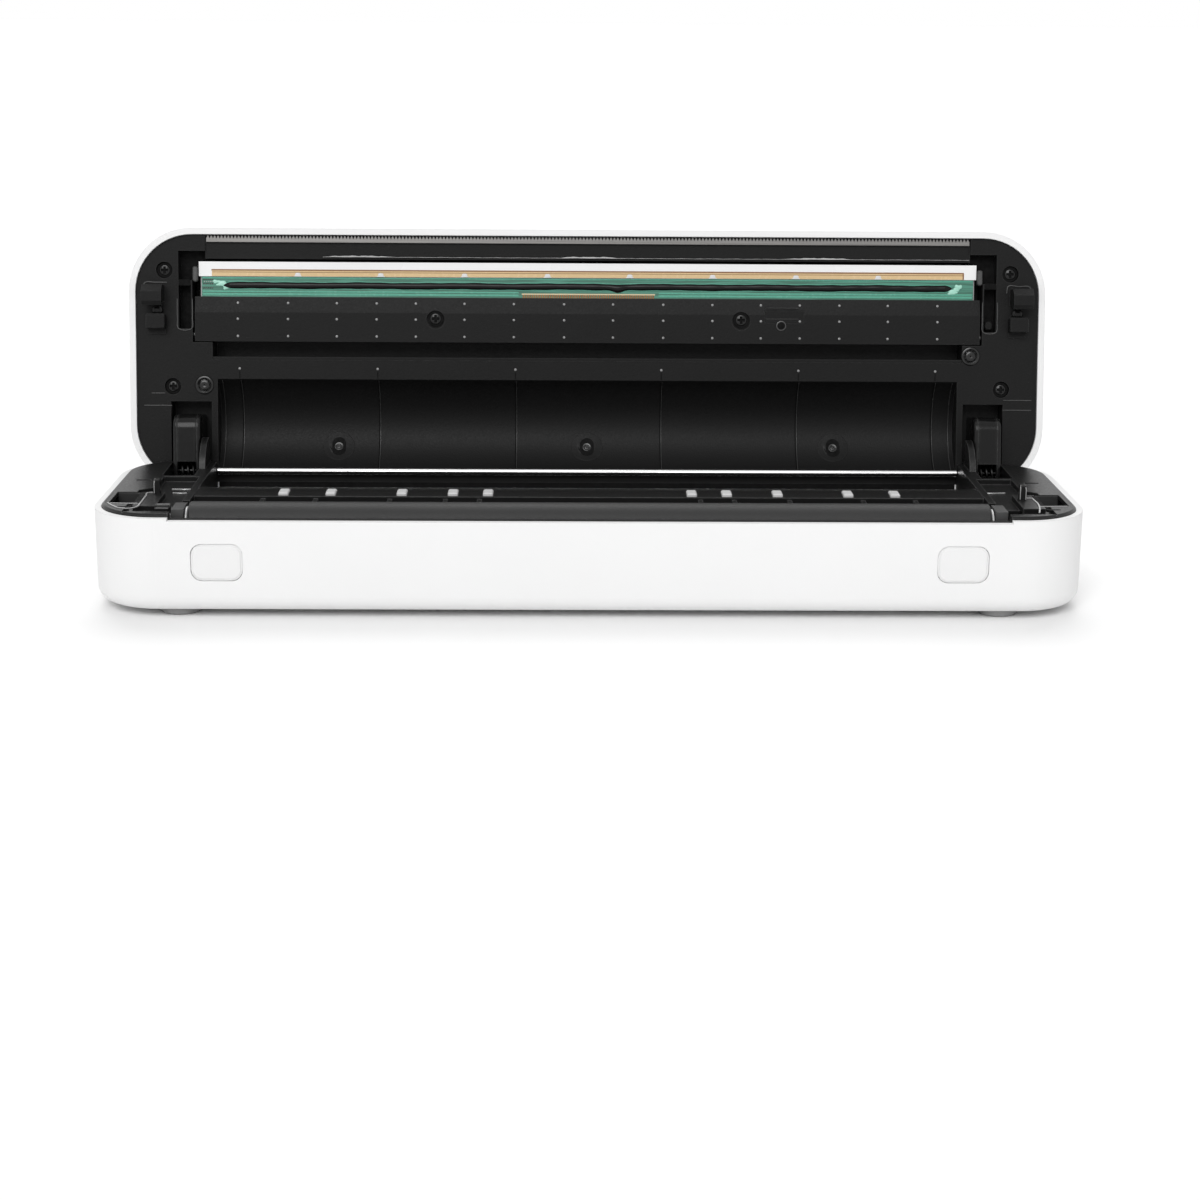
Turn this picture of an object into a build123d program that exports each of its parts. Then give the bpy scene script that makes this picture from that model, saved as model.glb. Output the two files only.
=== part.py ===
from build123d import *
from math import atan2, cos, pi, radians, sin, sqrt, tan
import os

# Slim portable printer for A4 thermal paper, cover held open on its rear hinge
# Millimetres, +X to the right, +Y to the back, +Z up, the table at Z = 0
# Sizes in Y are measured from the front face and those in Z from the table
# Cover pieces are drawn where they lie when the cover is shut, on planes turned about the hinge

# Overall size and housing walls
width = 269.0
depth = 76.0
corner_r = 18.5
wall = 1.8
floor_wall = 1.8
fit_gap = 0.1
run_gap = 0.05
press_gap = 0.02
move_gap = 0.3
foot_h = 2.0
base_rim_z = 27.6
deck_z = 28.5
cover_rim_z = 28.1
cover_face_z = 28.9
cover_top_z = 43.0
base_edge_r = 4.2
cover_edge_r = 5.0
rim_bevel = 0.6

# Hinge
hinge_inset = 5.2
hinge_drop = 2.6
open_angle = 100.0
stop_gap = 0.35
shaft_r = 1.0

# Paper roll space, and the end blocks between it and the housing's sides
end_block = 25.5
roll_space_r = 15.6
roll_wall = 1.3
cheek_t = 2.0
fin_t = 1.8
fin_r = 10.0
fin_ear_r = 3.4

# Platen and its bushes
platen_y = 11.4
platen_z = 24.3
platen_r = 5.5
platen_play = 1.1
platen_shaft_r = 2.5
platen_tub_gap = 1.0
tub_wall = 1.4
tub_bite = 0.5
notch_side = 3.4
notch_z = 26.9
bush_t = 3.2
bush_w = 8.6
bush_top_z = 28.6

# Guide plate behind the platen
guide_front_y = 26.3
guide_top_z = 28.4
shelf_z = 26.0
guide_t = 1.6
guide_sag = 1.3
pad_w = 2.8
pad_inset = 0.7
pad_len = 5.4
pad_z = (27.3, 29.0)
pad_xs = (28.2, 37.9, 52.0, 71.6, 84.6)
rib_xs = (30.5, 39.9, 55.2, 75.6, 90.1)
rib_t = 1.2

# End decks of the base, with sizes in X measured in from the housing's side
deck_t = 3.4
sunk_depth = 1.6
sunk_in = (13.5, 9.5)
sunk_front_y = 5.0
sunk_step_y = 34.0
sunk_back_gap = 1.8
block_in = (17.2, 11.1)
block_y = (12.0, 29.2)
hook_slot_in = (10.9, 3.1)
hook_slot_y = (15.4, 29.6)
deck_slot = (4.2, 1.4, 0.9)
deck_slots_in = ((9.3, 10.8), (8.5, 45.2))
arm_swing_gap = 2.3
arm_bay_wall = 1.5

# Hinge arms
arm_t = 8.0
arm_gap = 0.5
arm_eye_r = 3.6
arm_reach = 16.5
arm_nose_r = 4.0
arm_heel = 1.4
spring_wire = 0.7
spring_pitch = 1.6
spring_turns = 2.25
spring_mean_r = 1.95
spring_pocket_r = 3.2
spring_pocket_w = 5.2
spring_seat_gap = 0.3

# Gear train and motor
gear_module = 0.5
platen_teeth = 18
idler_teeth = 30
pinion_teeth = 12
gear_t = 3.6
tooth_share = 0.44
tooth_tip = 0.8
tooth_root = 1.1
pressure_angle = radians(20)
idler_fall = radians(43.4)
motor_fall = radians(19.8)
motor_r = 8.5
motor_len = 9.6
motor_shaft_r = 1.0
motor_bore = 2.5
plate_t = 1.0
idler_stud_r = 1.5

# Release buttons, latch sliders and their springs
button_in = 34.9
button_z = 15.7
button_w = 13.3
button_h = 9.6
button_corner = 3.0
button_gap = 0.25
button_travel = 1.5
button_depth = 2.8
slider_in = 40.5
slider_back_y = 8.8
slider_corner_y = 5.2
slider_z = (11.5, 16.2)
latch_in = (12.9, 10.5)
latch_z = (22.0, 24.4)
latch_tooth = 2.4
latch_lip = 0.9
latch_spring_in = 32.5
latch_spring_z = 13.8
latch_spring_r = 2.0
latch_spring_bore = 1.3

# Inner pieces of the base
cell_len = 65.0
cell_gap = 4.0
cell_room = 1.9
board_end_gap = 5.0
board_y = (3.9, 16.9)
board_t = 1.2
board_z = 5.0
board_post_x = 24.0
board_post_in = 10.0
post_r = 2.2
board_parts_at = (
    (-52.0, 10.4, 7.0, 1.2),
    (-8.0, 10.4, 9.0, 1.0),
    (40.0, 9.4, 6.0, 4.0),
    (56.0, 11.0, 5.0, 6.5),
)
port_y = 30.0
port_z = 9.6
port_size = (9.0, 3.3, 7.4)
port_skin = 0.35
key_y = 45.0
key_z = 9.6
key_size = (10.0, 4.2)
key_travel = 0.5
key_sink = 0.1
key_depth = 2.4
key_switch = (4.0, 6.0)
port_board_in = (16.5, 3.0)
port_board_y = (20.0, 49.8)
port_board_t = 1.2
foot_r = 5.5
foot_sink = 0.6
foot_side = 23.5
foot_inset = 10.0
front_screw = (46.5, 12.0)
rear_screw = (16.5, 14.0)
base_post_r = 3.0
screw_head_r = 2.4
screw_head_h = 1.2
screw_r = 1.2
screw_len = 9.0

# Cover frame
panel_t = 2.4
tear_y = 1.9
tear_w = 2.1
tear_t = 0.8
tooth_pitch = 1.0
tooth_depth = 1.1
tray_side = 7.2
tray_low_side = 1.4
tray_y = (8.8, 38.2)
tray_ceiling_z = 38.0
tray_wall = 1.4
recess_ahead = 1.5
recess_inner_gap = 0.2
recess_outer_gap = 0.9
recess_top_z = 36.6
gear_pocket_w = 5.4
gear_pocket_gap = 0.6
cover_pocket_y = (6.6, 15.2)
slot_in = (17.9, 14.3)
slot_y = (16.4, 29.2)
slot_top_z = 33.0
hook_in = (10.2, 4.3)
hook_y = (16.6, 22.6)
hook_z = 22.4
hook_barb = 1.2
stop_block_in = (10.4, 5.4)
stop_block_y = (25.0, 28.9)
stop_block_gap = 1.0

# Print head
head_gap = 0.3
ceramic_side = 1.8
ceramic_lead = 1.8
ceramic_w = 4.3
ceramic_t = 1.0
head_board_side = 2.6
head_board_w = 9.0
head_board_t = 0.6
bead_end = 7.0
bead_back = 2.4
bead_r = 1.5
bead_h = 0.9
sink_side = 2.2
sink_lead = 0.2
sink_w = 22.7
sink_t = 3.2
head_cover_side = 0.6
head_cover_lap = 3.1
head_cover_w = 13.1
head_cover_step = 4.6
head_cover_low = 0.9
head_cover_z = 29.3
pivot_back = 1.6
pivot_r = 1.0
head_spring_r = 2.6
head_spring_xs = (-90.0, -45.0, 0.0, 45.0, 90.0)
head_spring_lead = 4.2
head_screw_x = 45.0
head_screw_back = 6.6
sensor_x = 57.8
sensor_size = (11.6, 3.6)
sensor_back = 8.0
cap_in = 21.2
cap_back = 4.9
cap_ahead = 2.5
cap_r = 2.5
cap_proud = 0.1
cover_screw_front = (10.2, 12.2)
cover_screw_rear = (12.4, 4.4)
cover_boss_r = 3.2
cover_head_r = 2.0
cover_head_h = 1.0
cover_head_sink = 1.8
cover_screw_len = 8.0

# Sizes that follow: places across the width, as distances from the middle
half_w = width / 2
bay_half = half_w - end_block
platen_half = bay_half - platen_play
notch_half = bay_half + notch_side
tear_half = notch_half - fit_gap
tray_half = bay_half + tray_side
sunk_x = (half_w - sunk_in[0], half_w - sunk_in[1])
block_x = (half_w - block_in[0], half_w - block_in[1])
hook_slot_x = (half_w - hook_slot_in[0], half_w - hook_slot_in[1])
slot_x = (half_w - slot_in[0], half_w - slot_in[1])
hook_x = (half_w - hook_in[0], half_w - hook_in[1])
stop_block_x = (half_w - stop_block_in[0], half_w - stop_block_in[1])
latch_x = (half_w - latch_in[0], half_w - latch_in[1])
port_board_x = (half_w - port_board_in[0], half_w - port_board_in[1])
button_x = half_w - button_in
slider_inner_x = half_w - slider_in
latch_spring_x = half_w - latch_spring_in
foot_x = half_w - foot_side
board_half = half_w - front_screw[0] - base_post_r - board_end_gap
board_post_xs = (board_post_x, board_half - board_post_in)
ceramic_half = tray_half - ceramic_side
head_board_half = tray_half - head_board_side
bead_half = head_board_half - bead_end
sink_half = tray_half - sink_side
head_cover_half = tray_half - head_cover_side

# Places from front to back and in height
axis_y = depth - hinge_inset
axis_z = deck_z - hinge_drop
turn = radians(open_angle)
floor_z = foot_h + floor_wall
deck_low_z = deck_z - deck_t
sunk_z = deck_z - sunk_depth
fin_x = bay_half + cheek_t
arm_bay_x = (fin_x + fin_t, fin_x + fin_t + arm_t + 2 * arm_gap)
arm_bay_front = axis_y - arm_reach - arm_swing_gap
sunk_back_y = arm_bay_front - sunk_back_gap
recess_front_y = arm_bay_front - recess_ahead
recess_x = (fin_x - recess_inner_gap, arm_bay_x[1] + recess_outer_gap)
arm_x = arm_bay_x[0] + arm_gap
arm_mid_x = arm_x + arm_t / 2
platen_top_z = platen_z + platen_r
rear_edge_h = (hinge_inset - hinge_inset * cos(turn)) / sin(turn)
rear_step_z = axis_z - hinge_inset * sin(turn) + rear_edge_h * cos(turn) - stop_gap
rear_cut_y = axis_y + shaft_r - 0.2
tub_r = platen_r + platen_tub_gap
bulkhead_y = platen_y + tub_r + tub_wall - tub_bite
pad_y = (guide_front_y + pad_inset, guide_front_y + pad_inset + pad_len)
ring_r = roll_space_r + roll_wall
roll_y = depth - wall - fit_gap - ring_r
roll_z = floor_z + fit_gap + ring_r
gear_x = notch_half + 0.9
plate_x = gear_x + gear_t + 0.5
platen_gear_r = gear_module * platen_teeth / 2
idler_r = gear_module * idler_teeth / 2
pinion_r = gear_module * pinion_teeth / 2
gear_tip_r = platen_gear_r + tooth_tip * gear_module
gear_pocket_x = (notch_half, notch_half + gear_pocket_w)
gear_pocket_y = (platen_y - gear_tip_r - gear_pocket_gap, platen_y + gear_tip_r + gear_pocket_gap)
foot_ys = (foot_inset, depth - foot_inset)
feet_at = [(side * foot_x, y) for side in (-1, 1) for y in foot_ys]
base_screw_at = ((half_w - front_screw[0], front_screw[1]), (half_w - rear_screw[0], depth - rear_screw[1]))
base_screws_at = [(side * x, y) for side in (-1, 1) for x, y in base_screw_at]
deck_slots_at = [(side * (half_w - x), y) for side in (-1, 1) for x, y in deck_slots_in]
hook_mid_x = sum(hook_x) / 2
hook_t = hook_x[1] - hook_x[0]
cover_screw_at = (
    (half_w - cover_screw_front[0], cover_screw_front[1]),
    (half_w - cover_screw_rear[0], recess_front_y - cover_screw_rear[1]),
)
cover_screws_at = [(side * x, y) for side in (-1, 1) for x, y in cover_screw_at]
ceramic_y = (platen_y - ceramic_lead, platen_y - ceramic_lead + ceramic_w)
head_board_y = (ceramic_y[1], ceramic_y[1] + head_board_w)
bead_y = ceramic_y[1] + bead_back
sink_y = (ceramic_y[0] + sink_lead, ceramic_y[0] + sink_lead + sink_w)
head_cover_y = (head_board_y[1] - head_cover_lap, head_board_y[1] - head_cover_lap + head_cover_w)
head_cover_step_y = head_cover_y[0] + head_cover_step
pivot_y = sink_y[1] - pivot_back
head_spring_y = sink_y[0] + head_spring_lead
head_screw_y = head_cover_y[1] - head_screw_back
sensor_y = head_cover_y[1] - sensor_back
tray_step_y = head_cover_y[1] + move_gap
caps_at = ((cap_in - half_w, recess_front_y - cap_back), (half_w - cap_in, tray_step_y + cap_ahead))
ceramic_z = platen_top_z + head_gap
sink_z = ceramic_z + ceramic_t
pivot_z = sink_z + sink_t / 2

# The cells lie on the floor, and touch neither the bulkhead, the roll space nor the shelf above
room_y = roll_y - bulkhead_y - guide_t / 2 - cell_room
room_z = roll_z - floor_z
room_r = ring_r + cell_room
room = room_y + room_z + room_r
room_below_ring = room - sqrt(room**2 - room_y**2 - room_z**2 + room_r**2)
room_below_shelf = (shelf_z - guide_t - floor_z - cell_room) / 2
cell_r = min(room_below_ring, room_below_shelf)
cell_y = bulkhead_y + guide_t / 2 + cell_room + cell_r

port_board_z = port_z - port_size[1] / 2 - port_board_t
guide_back_y = roll_y - sqrt(roll_space_r**2 - (guide_top_z - guide_sag - roll_z) ** 2)
cover_lean = (axis_y - cover_edge_r) * -cos(turn)
cover_rise = (cover_top_z - cover_edge_r - axis_z) * sin(turn)
open_depth = axis_y + cover_lean + cover_rise + cover_edge_r
front_y = -open_depth / 2

# Planes of the base, and of the cover turned open about the hinge
back_dir = Vector(0, cos(turn), -sin(turn))
up_dir = Vector(0, sin(turn), cos(turn))
cover_origin = Vector(0, front_y + axis_y, axis_z) - back_dir * axis_y - up_dir * axis_z


def base_plan(z):
    return Plane(origin=(0, front_y, z), x_dir=(1, 0, 0), z_dir=(0, 0, 1))


def base_side(x):
    return Plane(origin=(x, front_y, 0), x_dir=(0, 1, 0), z_dir=(1, 0, 0))


def base_front(y):
    return Plane(origin=(0, front_y + y, 0), x_dir=(1, 0, 0), z_dir=(0, -1, 0))


def cover_plan(z):
    return Plane(origin=cover_origin + up_dir * z, x_dir=(1, 0, 0), z_dir=up_dir)


def cover_side(x):
    return Plane(origin=cover_origin + Vector(x, 0, 0), x_dir=back_dir, z_dir=(1, 0, 0))


def outline(inset):
    """Rounded rectangle of the housing, drawn inset from its outer face."""
    with Locations((0, depth / 2)):
        RectangleRounded(width - 2 * inset, depth - 2 * inset, corner_r - inset)


def slab(plan, x, y, z, mode=Mode.ADD):
    """Straight block between two values of x, y and z on the given family of planes."""
    with BuildSketch(plan(z[0])) as profile:
        with Locations(((x[0] + x[1]) / 2, (y[0] + y[1]) / 2)):
            Rectangle(x[1] - x[0], y[1] - y[0])
    extrude(profile.sketch, amount=z[1] - z[0], mode=mode)


def slabs(plan, x, y, z, mode=Mode.ADD):
    """The same block on both sides of the middle."""
    slab(plan, x, y, z, mode)
    slab(plan, (-x[1], -x[0]), y, z, mode)


def rods(side, spans, at, radius, mode=Mode.ADD):
    """Round bars along X, one for each span of x."""
    for start, end in spans:
        with BuildSketch(side(start)) as profile:
            with Locations(at):
                Circle(radius)
        extrude(profile.sketch, amount=end - start, mode=mode)


def both(start, end):
    """A span of x and its mirror image."""
    return ((start, end), (-end, -start))


def finish(piece, name):
    piece.part.label = name
    export_step(piece.part, f"parts/{name}.step")


os.makedirs("parts", exist_ok=True)

# Base housing: an open tub with the platen notch, button holes and the low rear wall
with BuildPart() as base_shell:
    with BuildSketch(base_plan(foot_h)):
        outline(0)
    extrude(amount=base_rim_z - foot_h)
    fillet(base_shell.edges().group_by(Axis.Z)[0], radius=base_edge_r)
    with BuildSketch(base_plan(floor_z)):
        outline(wall)
    extrude(amount=base_rim_z, mode=Mode.SUBTRACT)
    slab(base_plan, (-notch_half, notch_half), (-1, wall + 1), (notch_z, deck_z), Mode.SUBTRACT)
    slab(base_plan, (-width, width), (rear_cut_y, depth + 1), (rear_step_z, deck_z), Mode.SUBTRACT)
    with BuildSketch(base_front(wall + 1)):
        with Locations((-button_x, button_z), (button_x, button_z)):
            RectangleRounded(button_w + 2 * button_gap, button_h + 2 * button_gap, button_corner)
    extrude(amount=wall + 2, mode=Mode.SUBTRACT)
    with BuildSketch(base_side(width / 2 - wall - 1)):
        with Locations((port_y, port_z)):
            RectangleRounded(port_size[0] + 2 * button_gap, port_size[1] + 2 * button_gap, 1.6)
        with Locations((key_y, key_z)):
            SlotOverall(key_size[0] + 2 * button_gap, key_size[1] + 2 * button_gap)
    extrude(amount=wall + 2, mode=Mode.SUBTRACT)
    with BuildSketch(base_plan(foot_h)):
        with Locations(*feet_at):
            Circle(foot_r + fit_gap)
    extrude(amount=foot_sink, mode=Mode.SUBTRACT)
    with BuildSketch(base_plan(floor_z)):
        with Locations(*[(side * x, sum(board_y) / 2) for side in (-1, 1) for x in board_post_xs]):
            Circle(post_r)
    extrude(amount=board_z - floor_z)
    with BuildSketch(base_plan(foot_h)):
        with Locations(*base_screws_at):
            Circle(screw_head_r + fit_gap)
    extrude(amount=screw_head_h, mode=Mode.SUBTRACT)
    with BuildSketch(base_plan(foot_h)):
        with Locations(*base_screws_at):
            Circle(screw_r + fit_gap)
    extrude(amount=floor_wall, mode=Mode.SUBTRACT)
    with BuildSketch(base_plan(floor_z)):
        with Locations(*[(port_board_x[0] + 3, y) for y in (port_board_y[0] + 3, port_board_y[1] - 3)]):
            Circle(post_r)
    extrude(amount=port_board_z - floor_z)
finish(base_shell, "base_shell")

# Rubber feet
with BuildPart() as feet:
    with BuildSketch(base_plan(0)):
        with Locations(*feet_at):
            Circle(foot_r)
    extrude(amount=foot_h + foot_sink)
    chamfer(feet.edges().group_by(Axis.Z)[0], length=0.4)
finish(feet, "rubber_feet")

# Base frame: end decks, platen tub, guide plate and roll trough in one moulding
with BuildPart() as base_frame:
    with BuildSketch(base_plan(deck_low_z)):
        outline(wall + fit_gap)
    extrude(amount=deck_z - deck_low_z)
    chamfer(base_frame.edges().group_by(Axis.Z)[-1], length=rim_bevel)
    slab(base_plan, (-fin_x, fin_x), (0, depth), (0, deck_z + 1), Mode.SUBTRACT)
    slab(base_plan, (-notch_half, notch_half), (0, bulkhead_y), (0, deck_z + 1), Mode.SUBTRACT)
    slabs(base_plan, gear_pocket_x, gear_pocket_y, (0, deck_z + 1), Mode.SUBTRACT)
    for side in (-1, 1):
        with BuildSketch(base_plan(sunk_z)):
            with BuildLine():
                Polyline(
                    (side * fin_x, sunk_front_y),
                    (side * sunk_x[1], sunk_front_y),
                    (side * sunk_x[1], sunk_step_y - 2),
                    (side * sunk_x[0], sunk_step_y + 2),
                    (side * sunk_x[0], sunk_back_y),
                    (side * fin_x, sunk_back_y),
                    close=True,
                )
            make_face()
        extrude(amount=sunk_depth + 1, mode=Mode.SUBTRACT)
    slabs(base_plan, block_x, block_y, (sunk_z, deck_z))
    # Slots for the latch hooks, and the small ones in front of them
    slabs(base_plan, hook_slot_x, hook_slot_y, (0, deck_z + 1), Mode.SUBTRACT)
    with BuildSketch(base_plan(deck_z - deck_slot[2])):
        with Locations(*deck_slots_at):
            SlotOverall(deck_slot[0], deck_slot[1])
    extrude(amount=deck_slot[2] + 1, mode=Mode.SUBTRACT)
    # Middle section, drawn from the side and drawn out between the end decks
    with BuildSketch(base_side(-fin_x)):
        with Locations((roll_y, roll_z)):
            Circle(ring_r)
        with Locations((roll_y, guide_top_z - guide_sag + 2 * roll_space_r)):
            Rectangle(4 * roll_space_r, 4 * roll_space_r, mode=Mode.SUBTRACT)
        with BuildLine():
            front = (guide_front_y, guide_top_z - 0.3)
            back = (guide_back_y, guide_top_z - guide_sag)
            ThreePointArc(front, ((front[0] + back[0]) / 2 - 3, guide_top_z), back)
            Polyline(back, (back[0], back[1] - 3), (front[0], front[1] - 3), front)
        make_face()
        with Locations(((bulkhead_y + guide_front_y) / 2, shelf_z - guide_t / 2)):
            Rectangle(guide_front_y - bulkhead_y + guide_t, guide_t)
        with Locations((bulkhead_y, (floor_z + shelf_z) / 2)):
            Rectangle(guide_t, shelf_z - floor_z)
        with Locations((roll_y, roll_z)):
            Circle(roll_space_r, mode=Mode.SUBTRACT)
        with Locations(((roll_y + 2 * depth) / 2, (rear_step_z + 2 * depth) / 2)):
            Rectangle(2 * depth - roll_y, 2 * depth - rear_step_z, mode=Mode.SUBTRACT)
    extrude(amount=2 * fin_x)
    # Tub under the platen, with a lip that meets the housing below the notch
    with BuildSketch(base_side(-notch_half)):
        with Locations((platen_y, platen_z)):
            Circle(tub_r + tub_wall)
            Circle(tub_r, mode=Mode.SUBTRACT)
        with Locations((platen_y, platen_z + tub_r)):
            Rectangle(3 * tub_r, 2 * tub_r, mode=Mode.SUBTRACT)
        with Locations((platen_y - tub_r - tub_wall / 2, (platen_z + notch_z) / 2 - 0.1)):
            Rectangle(tub_wall, notch_z - platen_z)
        with Locations(((wall + fit_gap + platen_y - tub_r) / 2, notch_z - 0.9)):
            Rectangle(platen_y - tub_r - wall - fit_gap, 1.6)
    extrude(amount=2 * notch_half)
    # Side walls of the roll space, with the round fins that carry the hinge shaft
    back_y = depth - wall - fit_gap
    slabs(base_plan, (bay_half, fin_x), (bulkhead_y, back_y), (floor_z, rear_step_z))
    slabs(base_plan, (bay_half, fin_x), (bulkhead_y, rear_cut_y), (floor_z, deck_z))
    slabs(
        base_plan,
        (fin_x, arm_bay_x[1] + arm_bay_wall),
        (arm_bay_front - arm_bay_wall, back_y),
        (rear_step_z - arm_bay_wall, deck_z),
    )
    slab(base_plan, (-width, width), (rear_cut_y, depth), (rear_step_z, 2 * deck_z), Mode.SUBTRACT)
    slabs(base_plan, arm_bay_x, (arm_bay_front, depth), (rear_step_z, deck_z + 1), Mode.SUBTRACT)
    for start in (fin_x, -fin_x - fin_t):
        with BuildSketch(base_side(start)):
            with Locations((axis_y, axis_z)):
                Circle(fin_r)
            with Locations((axis_y + fin_r, axis_z)):
                Rectangle(2 * fin_r, 2 * fin_r, mode=Mode.SUBTRACT)
            with Locations((axis_y, axis_z)):
                Circle(fin_ear_r)
        extrude(amount=fin_t)
    # Ribs that bridge the gap behind the platen, and pockets for the white pads
    for x in rib_xs:
        slabs(
            base_plan,
            (x - rib_t / 2, x + rib_t / 2),
            (bulkhead_y, guide_front_y + guide_t),
            (shelf_z, guide_top_z - 1),
        )
    for x in pad_xs:
        slabs(base_plan, (x - pad_w / 2, x + pad_w / 2), pad_y, (pad_z[0], 2 * deck_z), Mode.SUBTRACT)
    # Posts for the screws that come up through the floor
    for (x, y), top_z in zip(base_screw_at, (platen_z - tub_r, rear_step_z)):
        with BuildSketch(base_plan(floor_z)):
            with Locations((-x, y), (x, y)):
                Circle(base_post_r)
        extrude(amount=top_z - 0.4 - floor_z)
    with BuildSketch(base_plan(floor_z)):
        with Locations(*base_screws_at):
            Circle(screw_r + run_gap)
    extrude(amount=screw_len + 1, mode=Mode.SUBTRACT)
    bores = both(bay_half - 1, arm_bay_x[1] + arm_bay_wall)
    rods(base_side, bores, (axis_y, axis_z), shaft_r + run_gap, Mode.SUBTRACT)
    with BuildSketch(base_plan(0)):
        outline(wall + fit_gap)
    extrude(amount=2 * deck_z, mode=Mode.INTERSECT)
finish(base_frame, "base_frame")

# White pads on the front edge of the guide plate
with BuildPart() as guide_pads:
    for x in pad_xs:
        slabs(base_plan, (x - pad_w / 2, x + pad_w / 2), pad_y, pad_z)
finish(guide_pads, "guide_pads")

# Screws that hold the frame down
with BuildPart() as base_screws:
    with BuildSketch(base_plan(foot_h)):
        with Locations(*base_screws_at):
            Circle(screw_head_r)
    extrude(amount=screw_head_h)
    with BuildSketch(base_plan(foot_h + screw_head_h)):
        with Locations(*base_screws_at):
            Circle(screw_r)
    extrude(amount=screw_len)
finish(base_screws, "base_screws")

# Hinge shaft across the whole roll space
with BuildPart() as hinge_shaft:
    half = arm_bay_x[1] + arm_bay_wall - fit_gap
    rods(base_side, ((-half, half),), (axis_y, axis_z), shaft_r)
    chamfer(hinge_shaft.edges().filter_by(GeomType.CIRCLE), length=0.2)
finish(hinge_shaft, "hinge_shaft")

# Platen: steel shaft, rubber sleeve, bushes and drive gear
with BuildPart() as platen_shaft:
    rods(base_side, ((-gear_x - gear_t, notch_half - fit_gap),), (platen_y, platen_z), platen_shaft_r)
    chamfer(platen_shaft.edges().filter_by(GeomType.CIRCLE), length=0.3)
finish(platen_shaft, "platen_shaft")

with BuildPart() as platen_rubber:
    rods(base_side, ((-platen_half, platen_half),), (platen_y, platen_z), platen_r)
    chamfer(platen_rubber.edges().filter_by(GeomType.CIRCLE), length=0.4)
    bore_r = platen_shaft_r + press_gap
    rods(base_side, ((-platen_half, platen_half),), (platen_y, platen_z), bore_r, Mode.SUBTRACT)
finish(platen_rubber, "platen_rubber")

with BuildPart() as platen_bushes:
    for start in (-notch_half + fit_gap, notch_half - fit_gap - bush_t):
        with BuildSketch(base_side(start)):
            with Locations((platen_y, platen_z)):
                Circle(tub_r - fit_gap)
            with Locations((platen_y, platen_z + tub_r)):
                Rectangle(3 * tub_r, 2 * tub_r, mode=Mode.SUBTRACT)
            with Locations((platen_y, (platen_z + bush_top_z) / 2)):
                Rectangle(bush_w, bush_top_z - platen_z)
            with Locations((platen_y, platen_z)):
                Circle(platen_shaft_r + run_gap, mode=Mode.SUBTRACT)
        extrude(amount=bush_t)
finish(platen_bushes, "platen_bushes")


def gear_outline(teeth, at, phase):
    """Closed outline of a spur gear with straight flanks, one tooth centred on the phase angle."""
    pitch_r = gear_module * teeth / 2
    half = tooth_share * pi / teeth
    lean = tan(pressure_angle) * gear_module / pitch_r
    root = (pitch_r - tooth_root * gear_module, half + tooth_root * lean)
    tip = (pitch_r + tooth_tip * gear_module, half - tooth_tip * lean)
    points = []
    for tooth in range(teeth):
        middle = phase + 2 * pi * tooth / teeth
        for radius, swing in (root, tip):
            points.append((radius, middle - swing))
        for radius, swing in (tip, root):
            points.append((radius, middle + swing))
    Polyline(*[(at[0] + r * cos(a), at[1] + r * sin(a)) for r, a in points], close=True)


def meshed_phase(teeth, at, driver_teeth, driver_at, driver_phase):
    """Phase that puts a gap of this gear on the driver's tooth, on the line of centres."""
    line = atan2(at[1] - driver_at[1], at[0] - driver_at[0])
    return line + pi + pi / teeth - (driver_phase - line) * driver_teeth / teeth


# The idler and the motor each lie at their centre distance from the gear before
platen_at = (platen_y, platen_z)
first_span = platen_gear_r + idler_r
second_span = pinion_r + idler_r
idler_at = (platen_y + first_span * cos(idler_fall), platen_z - first_span * sin(idler_fall))
motor_at = (idler_at[0] + second_span * cos(motor_fall), idler_at[1] - second_span * sin(motor_fall))
idler_phase = meshed_phase(idler_teeth, idler_at, platen_teeth, platen_at, 0)
pinion_phase = meshed_phase(pinion_teeth, motor_at, idler_teeth, idler_at, idler_phase)

with BuildPart() as platen_gear:
    with BuildSketch(base_side(-gear_x - gear_t)):
        with BuildLine():
            gear_outline(platen_teeth, platen_at, 0)
        make_face()
        with Locations(platen_at):
            Circle(platen_shaft_r + press_gap, mode=Mode.SUBTRACT)
    extrude(amount=gear_t)
finish(platen_gear, "platen_gear")

with BuildPart() as idler_gear:
    with BuildSketch(base_side(-gear_x - gear_t)):
        with BuildLine():
            gear_outline(idler_teeth, idler_at, idler_phase)
        make_face()
        with Locations(idler_at):
            Circle(idler_stud_r + run_gap, mode=Mode.SUBTRACT)
    extrude(amount=gear_t)
    for start in (-gear_x - gear_t, -gear_x - 0.9):
        with BuildSketch(base_side(start)):
            with Locations(idler_at):
                Circle(idler_r - 1.8)
                Circle(idler_stud_r + 1.4, mode=Mode.SUBTRACT)
        extrude(amount=0.9, mode=Mode.SUBTRACT)
finish(idler_gear, "idler_gear")

with BuildPart() as motor_pinion:
    with BuildSketch(base_side(-gear_x - gear_t)):
        with BuildLine():
            gear_outline(pinion_teeth, motor_at, pinion_phase)
        make_face()
    extrude(amount=gear_t)
    rods(base_side, ((-plate_x - plate_t - 2, -gear_x - gear_t),), motor_at, motor_shaft_r)
finish(motor_pinion, "motor_pinion")

with BuildPart() as stepper_motor:
    rods(base_side, ((-plate_x - plate_t - motor_len, -plate_x - plate_t),), motor_at, motor_r)
    chamfer(stepper_motor.edges().group_by(Axis.X)[0], length=0.6)
    bore = ((-plate_x - plate_t - motor_bore, -plate_x - plate_t),)
    rods(base_side, bore, motor_at, motor_shaft_r + run_gap, Mode.SUBTRACT)
finish(stepper_motor, "stepper_motor")

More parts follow.
